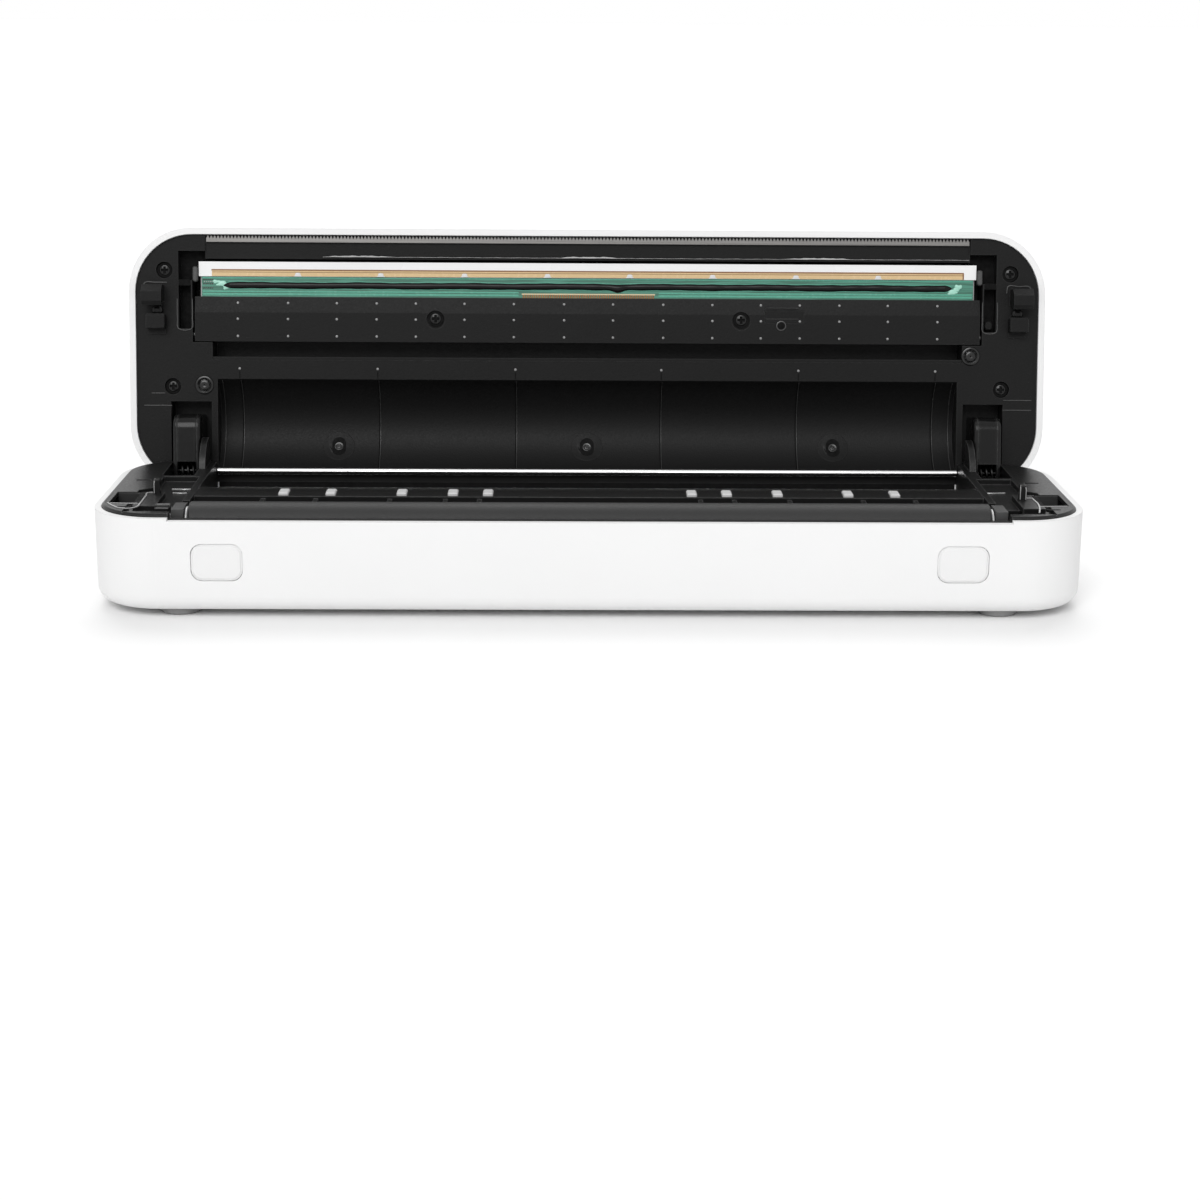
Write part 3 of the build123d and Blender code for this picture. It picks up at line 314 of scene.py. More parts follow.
def make_shaft():
    """Drawn steel, bright between the cheeks; past them, where the springs sit, its colour is painted near
    black as shade.
    """
    material = drawn_metal("shaft_steel", shade(0.62), shade(0.75), (0.12, 0.22))
    tree = material.node_tree
    base_colour = tree.nodes["Principled BSDF"].inputs["Base Color"]
    bright_end = 0.1088
    x = add_node(tree, "ShaderNodeSeparateXYZ", {0: object_place(tree)}).outputs["X"]
    reach = add_node(tree, "ShaderNodeMath", {0: x}, operation="ABSOLUTE").outputs[0]
    past = add_node(tree, "ShaderNodeMath", {0: reach, 1: bright_end}, operation="GREATER_THAN").outputs[0]
    steel = base_colour.links[0].from_socket
    # Painted shade: past the cheeks the steel's colour is mixed to near black, where the springs shade the
    # shaft
    tree.links.new(mix_colours(tree, past, steel, shade(0.015)), base_colour)
    return material


# Plastics and rubber: dark and light colour, the range of roughness, then the scale of the grain,
# its height and the radius of the rounded edges
white_housing = moulding("white_housing", shade(0.82), shade(0.86), (0.42, 0.5), 1800, 0.06, 0.0003)
button_white = moulding("button_white", shade(0.79), shade(0.83), (0.4, 0.48), 1800, 0.05, 0.0003)
# The black mouldings' lighter edges are partly wear and partly a painted highlight; on the hinge arms they
# stand for the highlight along the rounded nose and sides.
frame_black = moulding("frame_black", shade(0.006), shade(0.009), (0.4, 0.56), 2400, 0.3, 0.00025,
                       scuffs_and_sheen=1.4, scuffed_and_lit_grey=0.1, Specular_IOR_Level=0.12)
deck_black = moulding("deck_black", shade(0.006), shade(0.009), (0.28, 0.4), 2400, 0.2, 0.0003,
                      scuffs_and_sheen=2.0, scuffed_and_lit_grey=0.2, Specular_IOR_Level=0.2)
arm_black = moulding("arm_black", shade(0.004), shade(0.006), (0.12, 0.2), 900, 0.04, 0.0005,
                     scuffs_and_sheen=1.2, scuffed_and_lit_grey=0.2, Specular_IOR_Level=0.2)
rubber_grey = moulding("rubber_grey", shade(0.017), shade(0.022), (0.45, 0.6), 3400, 0.3, 0.0003,
                       Specular_IOR_Level=0.3)
# Painted shade: near-black plates and floors that stand for the shade in holes, wells, grooves, slits and
# gaps
painted_shade_black = moulding("painted_shade_black", shade(0.002), shade(0.004), (0.6, 0.8), 900, 0.1,
                      Specular_IOR_Level=0.1)
epoxy_black = moulding("epoxy_black", shade(0.006), shade(0.009), (0.14, 0.24), 300, 0.1,
                       Specular_IOR_Level=0.14)
foot_grey = moulding("foot_grey", shade(0.22), shade(0.3), (0.6, 0.75), 2000, 0.3)
bush_grey = moulding("bush_grey", shade(0.05), shade(0.075), (0.35, 0.45), 1500, 0.1)
wall_black = moulding("wall_black", shade(0.02), shade(0.03), (0.4, 0.5), 1500, 0.1)
gear_black = moulding("gear_black", shade(0.012), shade(0.018), (0.3, 0.4), 1500)
chip_black = moulding("chip_black", shade(0.02), shade(0.03), (0.5, 0.6), 3000, 0.2)
sensor_black = moulding("sensor_black", shade(0.006), shade(0.01), (0.12, 0.2), 700, 0.03)
pad_white = moulding("pad_white", shade(0.6), shade(0.72), (0.4, 0.5), 2000, 0.1)
washer_white = moulding("washer_white", shade(0.62), shade(0.7), (0.3, 0.4), 1500)
# Painted highlight: the small pips on the black mouldings are coloured light grey to stand for their glints
pip_highlight_grey = moulding("pip_highlight_grey", shade(0.22), shade(0.34), (0.15, 0.25))
film_grey = moulding("film_grey", shade(0.35), shade(0.55), (0.2, 0.3), 600, 0.1)
# Partly painted highlight: a dark grey, lighter than the black mouldings, on seam lines, raised rims and
# edges to stand for the light they catch; the pivot ears take it too.
seam_highlight_grey = moulding("seam_highlight_grey", shade(0.035), shade(0.055), (0.25, 0.35), 900, 0.1)
# Painted highlight: glossy light grey on the deck's raised rails and tab edges, standing for the light
# along those edges
rail_highlight_grey = moulding("rail_highlight_grey", shade(0.36), shade(0.5), (0.1, 0.18))
cell_blue = moulding("cell_blue", (0.02, 0.1, 0.35, 1), (0.03, 0.13, 0.42, 1), (0.25, 0.35), 500)

# Print head finishes
ceramic_white = make_ceramic()
board_green = make_board()
glaze_amber = moulding("glaze_amber", (0.62, 0.42, 0.2, 1), (0.72, 0.54, 0.3, 1), (0.2, 0.3),
                       Coat_Weight=0.3)
heater_brown = moulding("heater_brown", (0.2, 0.09, 0.03, 1), (0.27, 0.13, 0.05, 1), (0.3, 0.4))
pad_gold = moulding("pad_gold", (0.2, 0.08, 0.03, 1), (0.3, 0.13, 0.05, 1), (0.25, 0.35), Metallic=0.9)
mask_light = moulding("mask_light", (0.06, 0.31, 0.21, 1), (0.085, 0.38, 0.27, 1), (0.2, 0.3),
                      Coat_Weight=0.4)
tin_cream = moulding("tin_cream", (0.6, 0.5, 0.3, 1), (0.72, 0.62, 0.42, 1), (0.25, 0.35))
solder_mint = moulding("solder_mint", (0.3, 0.62, 0.5, 1), (0.42, 0.75, 0.62, 1), (0.2, 0.3), 900, 0.2)

# Metals: dark and light colour, the range of roughness, then the lines' scale along and across X
shaft_steel = make_shaft()
tear_steel = drawn_metal("tear_steel", shade(0.14, 0.03), shade(0.2, 0.03), (0.3, 0.42), 60, 1500)
spring_steel = drawn_metal("spring_steel", shade(0.02), shade(0.04), (0.4, 0.5), 400, 400)
screw_steel = drawn_metal("screw_steel", shade(0.02), shade(0.035), (0.2, 0.3), 900, 900)
wire_steel = drawn_metal("wire_steel", shade(0.35), shade(0.45), (0.2, 0.3), 400, 400)
dark_steel = drawn_metal("dark_steel", shade(0.05), shade(0.08), (0.2, 0.3))
plate_steel = drawn_metal("plate_steel", shade(0.5), shade(0.62), (0.3, 0.42), 200, 200)
disc_steel = drawn_metal("disc_steel", shade(0.025), shade(0.045), (0.16, 0.26), 500, 500)
sink_alloy = drawn_metal("sink_alloy", shade(0.18), shade(0.26), (0.35, 0.5))

finishes = {
    "base_shell": white_housing, "cover_shell": white_housing,
    "base_frame": deck_black, "cover_frame": frame_black, "head_cover": frame_black,
    "latch_slider_left": frame_black, "latch_slider_right": frame_black, "platen_bushes": bush_grey,
    "hinge_arms": arm_black, "release_button_left": button_white, "release_button_right": button_white,
    "power_key": button_white, "guide_pads": pad_white,
    "platen_rubber": rubber_grey, "rubber_feet": foot_grey,
    "platen_shaft": dark_steel, "hinge_shaft": shaft_steel, "tear_bar": tear_steel,
    "hinge_springs": spring_steel, "latch_spring_left": spring_steel, "latch_spring_right": spring_steel,
    "head_springs": spring_steel, "base_screws": screw_steel, "cover_screws": screw_steel,
    "head_screws": screw_steel, "hold_down_cap": screw_steel, "stepper_motor": plate_steel,
    "gear_plate": plate_steel, "charging_socket": plate_steel, "board_parts": chip_black,
    "platen_gear": gear_black, "idler_gear": gear_black, "motor_pinion": gear_black,
    "main_board": board_green, "head_board": board_green, "port_board": board_green,
    "battery_cells": cell_blue, "ceramic_strip": ceramic_white, "epoxy_bead": epoxy_black,
    "heat_sink": sink_alloy, "paper_sensor": sensor_black,
}
for node, material in finishes.items():
    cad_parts[node].data.materials.clear()
    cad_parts[node].data.materials.append(material)


# Meshes worked out with numpy

SHARP_ANGLE = math.radians(42)


def outward(mesh):
    """Turn the faces over if the volume that they enclose comes out negative."""
    mesh.calc_loop_triangles()
    corner = np.empty(len(mesh.loop_triangles) * 3, int)
    mesh.loop_triangles.foreach_get("vertices", corner)
    place = np.empty(len(mesh.vertices) * 3)
    mesh.vertices.foreach_get("co", place)
    tri = place.reshape(-1, 3)[corner.reshape(-1, 3)]
    tri = tri - tri.reshape(-1, 3).mean(0)
    if np.einsum("ij,ij->i", tri[:, 0], np.cross(tri[:, 1], tri[:, 2])).sum() < 0:
        mesh.flip_normals()


def add_piece(name, points, faces, body, material, smooth=True):
    """Object from points and faces, riding on its body."""
    mesh = bpy.data.meshes.new(name)
    mesh.from_pydata(points.reshape(-1, 3).tolist(), [], faces)
    mesh.materials.append(material)
    mesh.polygons.foreach_set("use_smooth", [smooth] * len(mesh.polygons))
    outward(mesh)
    if smooth:
        mesh.set_sharp_from_angle(angle=SHARP_ANGLE)
    mesh.update()
    piece = bpy.data.objects.new(name, mesh)
    bpy.context.scene.collection.objects.link(piece)
    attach(piece, body)
    return piece


def tube_faces(rings, count, first=0):
    """Quads between rings of points, with a polygon on each end."""
    start = first + np.arange(rings - 1)[:, None] * count
    here, there = np.arange(count), np.roll(np.arange(count), -1)
    quads = np.stack([start + here, start + there, start + count + there, start + count + here], -1)
    faces = quads.reshape(-1, 4).tolist()
    faces.append((first + here[::-1]).tolist())
    faces.append((first + (rings - 1) * count + here).tolist())
    return faces


def join_rings(name, shapes, body, material, place, smooth=True):
    """One piece from several stacks of rings, each an array of rings of points."""
    points, faces, first = [], [], 0
    for shape in shapes:
        faces += tube_faces(shape.shape[0], shape.shape[1], first)
        points.append(shape.reshape(-1, 3))
        first += len(points[-1])
    return add_piece(name, place(np.concatenate(points)), faces, body, material, smooth)


def head_piece(name, shapes, material, place, smooth=True):
    """Piece of the print head."""
    return join_rings(name, shapes, "print_head", material, place, smooth)


def board_piece(name, shapes, material, smooth=True):
    """Piece on the print head's board."""
    return join_rings(name, shapes, "print_head", material, above_cover(BOARD_Z), smooth)


def ceramic_piece(name, shapes, material, smooth=True):
    """Piece on the print head's ceramic strip."""
    return join_rings(name, shapes, "print_head", material, above_cover(CERAMIC_Z), smooth)


def cover_piece(name, shapes, material, place, smooth=True):
    """Piece of the cover."""
    return join_rings(name, shapes, "cover", material, place, smooth)


def deck_piece(name, shapes, material, smooth=True):
    """Piece on the base's decks."""
    return join_rings(name, shapes, "base", material, above_base(DECK_Z), smooth)


# Local frames: x along the printer, y from front to back, and height above a face of the piece

def above_base(level):
    """Height counts up from a level of the base."""
    return lambda p: on_base(p + np.array([0, 0, level]))


def above_cover(level):
    """Height counts outwards from the cover's inner face, which is downwards when it is shut."""
    return lambda p: on_cover(p * np.array([1, 1, -1]) + np.array([0, 0, level]))


def above_trough(p):
    """Here y is the arc length back from the top of the trough."""
    angle = p[..., 1] / ROLL_R
    reach = ROLL_R - p[..., 2]
    y, z = ROLL_Y + reach * np.sin(angle), ROLL_Z + reach * np.cos(angle)
    return on_cover(np.stack([p[..., 0], y, z], -1))


def along_platen(p):
    """Height counts outwards along the platen's axis, and x and y lie across it."""
    return on_base(np.stack([p[..., 2], PLATEN_Y + p[..., 0], PLATEN_Z + p[..., 1]], -1))


def on_front(p):
    """Here x and y lie across the base's front, and height counts back from it."""
    return on_base(p[..., [0, 2, 1]])


# Shapes as stacks of rings

def pair(x):
    """A place and its mirror image, or a span about the middle."""
    return (-x, x)


def both_sides(*xs):
    """Places to the right, each with its mirror image."""
    return [side * x for x in xs for side in (-1, 1)]


def rounded_outline(width, depth, radius, steps=5):
    """Rectangle with its corners turned by quarter arcs, anticlockwise."""
    radius = max(min(radius, width / 2 - 1e-4, depth / 2 - 1e-4), 1e-4)
    angle = np.radians(np.arange(4)[:, None] * 90 + np.linspace(0, 90, steps)[None, :])
    corner = np.array([[1, 1], [-1, 1], [-1, -1], [1, -1]]) * [width / 2 - radius, depth / 2 - radius]
    ring = corner[:, None, :] + radius * np.stack([np.cos(angle), np.sin(angle)], -1)
    return ring.reshape(-1, 2)


def block(x, y, z, radius=0.4, bevel=0.15):
    """Rounded block between two values of x, y and z, its outline drawn in by the bevel at both ends."""
    rings = []
    for inset, level in ((bevel, z[0]), (0, z[0] + bevel), (0, z[1] - bevel), (bevel, z[1])):
        ring = rounded_outline(x[1] - x[0] - 2 * inset, y[1] - y[0] - 2 * inset, radius - inset)
        ring = ring + [(x[0] + x[1]) / 2, (y[0] + y[1]) / 2]
        rings.append(np.column_stack([ring, np.full(len(ring), level)]))
    return np.array(rings)


def flat(x, y, top, bottom=-0.1):
    """Thin patch on a face."""
    return block(x, y, (bottom, top), 0.05, 0.02)


def mirrored(x, y, z, radius, bevel):
    """The same block on the left and on the right."""
    return [block(sorted((side * x[0], side * x[1])), y, z, radius, bevel) for side in (-1, 1)]


def mirrored_flat(x, y, top, bottom=-0.1):
    """Thin patch on the left and on the right."""
    return mirrored(x, y, (bottom, top), 0.05, 0.02)


def turned(at, profile, steps=28, stretch=0.0):
    """Body of revolution: a ring for each radius and height of the profile. Stretch draws the rings
    out along y, so that they come out oval."""
    angle = np.linspace(0, 2 * np.pi, steps, endpoint=False)
    ring = np.stack([np.cos(angle), np.sin(angle)], -1)
    far = np.stack([np.zeros(steps), stretch * np.sign(np.round(ring[:, 1], 6))], -1)
    return np.array([np.column_stack([ring * r + far + at, np.full(steps, h)]) for r, h in profile])


def well(at, radius, top, bottom, steps=32):
    """Flat round patch with a straight edge, for the floor of a well."""
    return turned(at, ((radius, bottom), (radius, top), (0.4, top)), steps)


def crossed(at, radius, base=0.0, depth=0.45):
    """Screw head with a cross recess: on a polar grid its height is a shallow dome, less the depth
    inside the arms of a cross."""
    angle = np.linspace(0, 2 * np.pi, 48, endpoint=False)[None, :]
    share = np.array([1.0, 1.0, 0.96, 0.86, 0.74, 0.68, 0.62, 0.54, 0.44, 0.32, 0.22, 0.18, 0.1])[:, None]
    u, v = radius * share * np.cos(angle), radius * share * np.sin(angle)
    dome = 0.2 * radius * (1 - share**2)
    dome[0], dome[1] = -0.5, -0.08
    longer, thinner = np.maximum(abs(u), abs(v)), np.minimum(abs(u), abs(v))
    across = np.clip((0.2 * radius - thinner) / (0.07 * radius), 0, 1)
    along = np.clip((0.68 * radius - longer) / (0.08 * radius), 0, 1)
    height = base + dome - depth * across * along * (share < 0.9)
    return np.stack([at[0] + u, at[1] + v, np.broadcast_to(height, u.shape)], -1)


def strip(path, width, height):
    """Rectangular rib along a path of points, flat on its face."""
    path = np.asarray(path, float)
    step = np.gradient(path, axis=0)
    step /= np.linalg.norm(step, axis=1)[:, None]
    side = np.stack([-step[:, 1], step[:, 0]], -1) * width / 2
    left, right = path - side, path + side
    low, high = np.full((len(path), 1), -0.05), np.full((len(path), 1), height)
    corners = (left, low), (right, low), (right, high), (left, high)
    return np.stack([np.hstack(corner) for corner in corners], 1)


def wire(path, radius, sides=8):
    """Round wire along a path of points: rings square to the path's direction."""
    angle = np.linspace(0, 2 * np.pi, sides, endpoint=False)
    path = np.asarray(path, float)
    along = np.gradient(path, axis=0)
    along /= np.linalg.norm(along, axis=1)[:, None]
    side = np.cross(along, [0.13, 0.21, 1.0])
    side /= np.linalg.norm(side, axis=1)[:, None]
    top = np.cross(side, along)
    ring = np.cos(angle)[None, :, None] * side[:, None] - np.sin(angle)[None, :, None] * top[:, None]
    return path[:, None] + radius * ring


def smooth_path(points, count=48):
    """Curve through points: each coordinate is joined by cubic pieces over the running length."""
    p = np.asarray(points, float)
    length = np.concatenate([[0], np.cumsum(np.linalg.norm(np.diff(p, axis=0), axis=1))])
    slope = np.gradient(p, length, axis=0)
    t = np.linspace(0, length[-1], count)
    k = np.clip(np.searchsorted(length, t, "right") - 1, 0, len(p) - 2)
    span = (length[k + 1] - length[k])[:, None]
    u = ((t - length[k]) / (length[k + 1] - length[k]))[:, None]
    start, end = (2 * u**3 - 3 * u**2 + 1) * p[k], (3 * u**2 - 2 * u**3) * p[k + 1]
    return start + end + (u**3 - 2 * u**2 + u) * span * slope[k] + (u**3 - u**2) * span * slope[k + 1]


def blob(x, y, long, wide, high, seed):
    """Drop of hardened flux: an oval dome whose outline wavers with the angle."""
    angle = np.linspace(0, 2 * np.pi, 40, endpoint=False)[None, :]
    share = np.array([1.0, 1.0, 0.9, 0.7, 0.45, 0.2])[:, None]
    waver = 1 + 0.16 * np.sin(3 * angle + seed) + 0.1 * np.sin(5 * angle + 2 * seed)
    height = high * np.sqrt(np.clip(1 - share**2, 0, 1)) - 0.1 * (np.arange(6)[:, None] == 0)
    u = x + long * share * waver * np.cos(angle)
    v = y + wide * share * waver * np.sin(angle)
    return np.stack([u, v, np.broadcast_to(height, u.shape)], -1)


def half_drop(x, y, long, wide, high):
    """White bump that ends straight at the ceramic's edge: the dome's lower half is drawn flat."""
    shape = blob(x, 0.0, long, wide, high, 0.0)
    return np.stack([shape[..., 0], y - np.clip(-shape[..., 1], -0.12, None), shape[..., 2]], -1)


# Print head

PIP = ((0.38, -0.05), (0.38, 0.06), (0.26, 0.14), (0.1, 0.16))


def pips(places):
    """Small domed pips at the places given."""
    return [turned(at, PIP, 10) for at in places]


def dress_ceramic():
    """Amber glaze with brown lines at its front, its middle and its right end, and white marks."""
    line_top = 0.09
    ceramic_piece("glaze_band", [flat(pair(GLAZE_END), (12.0, GLAZE_BACK_Y), 0.05)], glaze_amber, False)
    lines = [flat(pair(GLAZE_END + 0.1), (11.8, 12.2), line_top),
             flat(pair(GLAZE_END - 0.2), (12.55, 12.7), line_top),
             flat((GLAZE_END - 0.25, GLAZE_END + 0.15), (12.1, GLAZE_BACK_Y), line_top)]
    ceramic_piece("heater_line", lines, heater_brown, False)
    marks = [half_drop(x, GLAZE_BACK_Y - 0.1, 1.25, 1.0, 0.18) for x in both_sides(12.1, 36.5, 61.1, 85.4)]
    ceramic_piece("glaze_marks", marks, washer_white)


def dress_board():
    """Contact comb under a tinned bar, lighter bands of mask, drops of flux, and rows of specks."""
    comb_end, comb_pitch, comb_width = 19.4, 0.66, 0.4
    comb_xs = np.arange(-comb_end, comb_end + 0.1, comb_pitch)
    comb = [flat((x, x + comb_width), (18.8, 19.9), 0.06) for x in comb_xs]
    board_piece("gold_contacts", comb, pad_gold, False)
    board_piece("contact_bar", [flat((-19.7, 19.6), (18.45, 18.85), 0.1)], tin_cream, False)
    band_z, band_edge = (-0.1, 0.05), (0.1, 0.02)
    bands = []
    for y in ((18.0, 18.5), (18.75, 19.35)):
        bands += mirrored((20.6, BOARD_END), y, band_z, *band_edge)
    bands.append(block(pair(BOARD_END), (14.1, 14.45), band_z, *band_edge))
    board_piece("board_light_bands", bands, mask_light, False)
    drops = ((-107.6, 16.0, 1.7, 0.8, 0.3, 0.4), (-106.4, 16.9, 1.1, 0.8, 0.25, 1.7),
             (-109.4, 15.4, 1.1, 0.5, 0.2, 2.2), (107.4, 17.5, 1.4, 0.8, 0.3, 0.9),
             (109.2, 16.0, 1.1, 0.8, 0.25, 2.9), (108.4, 16.8, 0.9, 0.6, 0.2, 0.1))
    board_piece("flux_drops", [blob(*drop) for drop in drops], solder_mint)
    pitch = 0.62
    specks = [(-113.0 + pitch * i + 0.2 * (j % 2), 14.8 + pitch * j) for i in range(5) for j in range(6)]
    dark = [block((x - 0.22, x + 0.22), (y - 0.18, y + 0.18), (-0.1, 0.1), 0.1, 0.04)
            for x, y in specks[::2]]
    board_piece("board_specks", dark, chip_black, False)
    light = [flat((x - 0.12, x + 0.12), (y - 0.12, y + 0.12), 0.1) for x, y in specks[1::3]]
    board_piece("board_light_specks", light, pad_white, False)


def make_bead():
    """Bead of black resin: half-round section, tapered at both ends, with a drop near the middle.
    Under it lies a flat margin of the same outline, drawn out by a fifth of a millimetre."""
    left, right, taper = -107.3, 107.2, 2.0
    left_end, right_end = np.linspace(left, -105, 8), np.linspace(105, right, 8)
    x = np.concatenate([left_end, np.linspace(-104, 104, 260), right_end])
    end = np.clip(np.minimum((x - left + 0.1) / taper, (right + 0.1 - x) / taper), 0.05, 1)
    drop = np.exp(-(((x - 8.6) / 1.7) ** 2))
    waver = 1 + 0.05 * np.sin(x * 0.9) + 0.04 * np.sin(x * 0.37 + 1)
    width = 0.96 * np.sqrt(end) * waver * (1 + 0.3 * drop)
    middle = 16.45 + 0.45 * drop + 0.06 * np.sin(x * 0.21)
    angle = np.linspace(0, 2 * np.pi, 16, endpoint=False)
    y = middle[:, None] + width[:, None] * np.cos(angle)[None, :]
    z = np.maximum(0.8 * width[:, None] * np.sin(angle)[None, :], -0.05)
    shape = np.stack([np.broadcast_to(x[:, None], y.shape), y, z], -1)
    bead = join_rings("resin_bead", [shape], "print_head", epoxy_black, above_cover(BOARD_Z))
    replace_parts(bead, "epoxy_bead")
    rim_y = middle[:, None] + (width + 0.22)[:, None] * np.array([-1, 1, 1, -1])
    rim_z = np.broadcast_to([-0.05, -0.05, 0.04, 0.04], rim_y.shape)
    rim = np.stack([np.broadcast_to(x[:, None], rim_y.shape), rim_y, rim_z], -1)
    board_piece("bead_margin", [rim], mask_light, False)


def dress_head_cover():
    """Rows of pips in a painted highlight grey, two sunk screws over well floors painted black as shade,
    the sensor's window with painted highlights on its edges and ring and its eye painted black as shade,
    and the ears on the pivots.
    """
    face = above_cover(RIBBED_Z)
    pip_xs = both_sides(7.2, 22.0, 36.5, 50.8, 62.3, 74.0, 88.3, 103.0)
    head_piece("head_cover_pips", pips([(x, y) for x in pip_xs for y in (26.3, 31.3)]), pip_highlight_grey, face)
    step = above_cover(RIBBED_STEP_Z)
    head_piece("head_cover_top_pips", pips([(x, 21.6) for x in pip_xs]), pip_highlight_grey, step)
    screw_at = [(x, 26.0) for x in pair(45.0)]
    screws = join_rings("head_cross_screws", [crossed(at, 1.65, -0.35) for at in screw_at],
                        "print_head", screw_steel, face)
    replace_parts(screws, "head_screws")
    # Painted shade: black floors in the screws' wells
    head_piece("head_screw_wells", [well(at, 2.35, -0.42, -0.7) for at in screw_at], painted_shade_black, face)
    window = head_piece("sensor_window", [block((52.05, 63.55), (23.15, 26.65), (-0.6, 0.06), 0.3, 0.03)],
                        frame_black, face, False)
    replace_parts(window, "paper_sensor")
    edges = [strip([(52.3, y), (57.0, y), (61.9, y)], 0.12, 0.16) for y in (22.4, 25.6)]
    head_piece("sensor_edges", edges, seam_highlight_grey, face, False)
    eye_at = (56.8, 27.6)
    head_piece("sensor_ring", [turned(eye_at, ((1.5, -0.05), (1.45, 0.15), (1.15, 0.2), (1.1, 0.05)))],
               seam_highlight_grey, face)
    # Painted shade: the sensor's eye is a black disc
    head_piece("sensor_eye", [turned(eye_at, ((1.15, -0.05), (1.15, 0.21), (0.3, 0.22)))], painted_shade_black, face)
    ears = mirrored((114.6, 116.2), (11.0, 15.6), (-1.0, 0.9), 0.7, 0.3)
    head_piece("pivot_ears", ears, seam_highlight_grey, above_cover(CERAMIC_Z), False)


# Cover

def dress_panel():
    """Sunk screws, steel caps in their wells, pips and seam lines on the face panel. The wells' floors, the
    ring round each cap and a strip along the rear rim are painted black as shade; the pips and seam lines
    are in a painted highlight grey.
    """
    face = above_cover(FACE_Z)
    screw_at = ((-124.3, 12.2), (124.3, 12.2), (-122.1, 46.1), (122.1, 46.1))
    cover_piece("cover_screw_wells", [well(at, 2.3, -0.76, -1.2) for at in screw_at], painted_shade_black, face)
    screws = join_rings("cover_cross_screws", [crossed(at, 1.6, -0.72) for at in screw_at],
                        "cover", screw_steel, face)
    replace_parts(screws, "cover_screws")
    cap_at = ((-112.9, 45.7), (112.9, 36.3))
    cap = ((2.65, -0.3), (2.65, 0.1), (2.45, 0.2), (2.1, 0.2), (1.9, 0.02),
           (1.35, 0.02), (1.15, 0.14), (0.6, 0.1), (0.15, 0.0))
    caps = join_rings("hold_down_discs", [turned(at, cap, 40) for at in cap_at],
                      "cover", disc_steel, face)
    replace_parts(caps, "hold_down_cap")
    cover_piece("hold_down_wells", [well(at, 2.85, 0.02, -0.1, 40) for at in cap_at], painted_shade_black, face)
    cover_piece("strip_pips", pips([(x, 40.8) for x in both_sides(*STRIP_PIP_XS)]), pip_highlight_grey, face)
    seams = (((-130.6, 51.7), (-122.4, 51.7)), ((-128.4, 48.1), (-124.4, 48.1)),
             ((122.8, 49.2), (131.2, 49.2)), ((122.6, 52.1), (131.2, 52.1)))
    cover_piece("panel_seams", [strip(path, 0.22, 0.1) for path in seams], seam_highlight_grey, face, False)
    lip = [block(pair(110.3), (37.35, 38.4), (-1.4, 0.0), 0.1, 0.1)]
    cover_piece("strip_lip", lip, frame_black, face, False)
    # Painted shade: a black strip along the rear rim darkens the band under the hinge shaft
    rim = [block(pair(108.7), (74.05, 75.95), (0.0, 0.05), 0.02, 0.01)]
    cover_piece("rear_rim_painted_shade", rim, painted_shade_black, above_cover(RIM_Z), False)


def dress_trough():
    """Grooves round the trough painted black as shade, each with a painted highlight strip for its lit
    edge, and three screws in oval pockets, their floors painted black as shade, on low bosses.
    """
    groove_xs = both_sides(*STRIP_PIP_XS)
    arc = np.linspace(-15.2, 17, 40)
    grooves = [strip([(x, s) for s in arc], 0.34, 0.17) for x in groove_xs]
    cover_piece("trough_grooves", grooves, painted_shade_black, above_trough, False)
    # Painted highlight: a grey strip beside each groove stands for its lit edge
    groove_highlight_xs = [x + 0.3 for x in groove_xs] + both_sides(107.7)
    cover_piece("trough_groove_highlights", [strip([(x, s) for s in arc], 0.16, 0.21) for x in groove_highlight_xs],
                seam_highlight_grey, above_trough, False)
    lead_in = [strip([(x, y) for y in np.linspace(41.6, 43.6, 4)], 0.3, 0.03) for x in groove_xs]
    cover_piece("strip_grooves", lead_in, painted_shade_black, above_cover(FACE_Z), False)
    pocket_at = [(x, 6.8) for x in (-74.0, -0.3, 73.1)]
    screw_at = [(x, s - 0.1) for x, s in pocket_at]
    boss = ((4.9, -0.3), (4.6, 0.14), (3.6, 0.2), (2.4, 0.24), (0.6, 0.25))
    cover_piece("trough_bosses", [turned(at, boss, 48) for at in pocket_at], frame_black, above_trough)
    pocket = ((2.05, 0.05), (2.03, 0.3), (0.3, 0.3))
    wells = [turned(at, pocket, 40, 0.9) for at in pocket_at]
    cover_piece("trough_pocket_wells", wells, painted_shade_black, above_trough)
    ring = ((1.3, 0.1), (1.3, 0.36), (1.1, 0.42), (0.9, 0.34), (0.3, 0.34))
    join_rings("trough_screw_rings", [turned(at, ring, 32) for at in screw_at],
               "cover", disc_steel, above_trough)
    join_rings("trough_screws", [crossed(at, 0.8, 0.34, 0.15) for at in screw_at],
               "cover", disc_steel, above_trough)


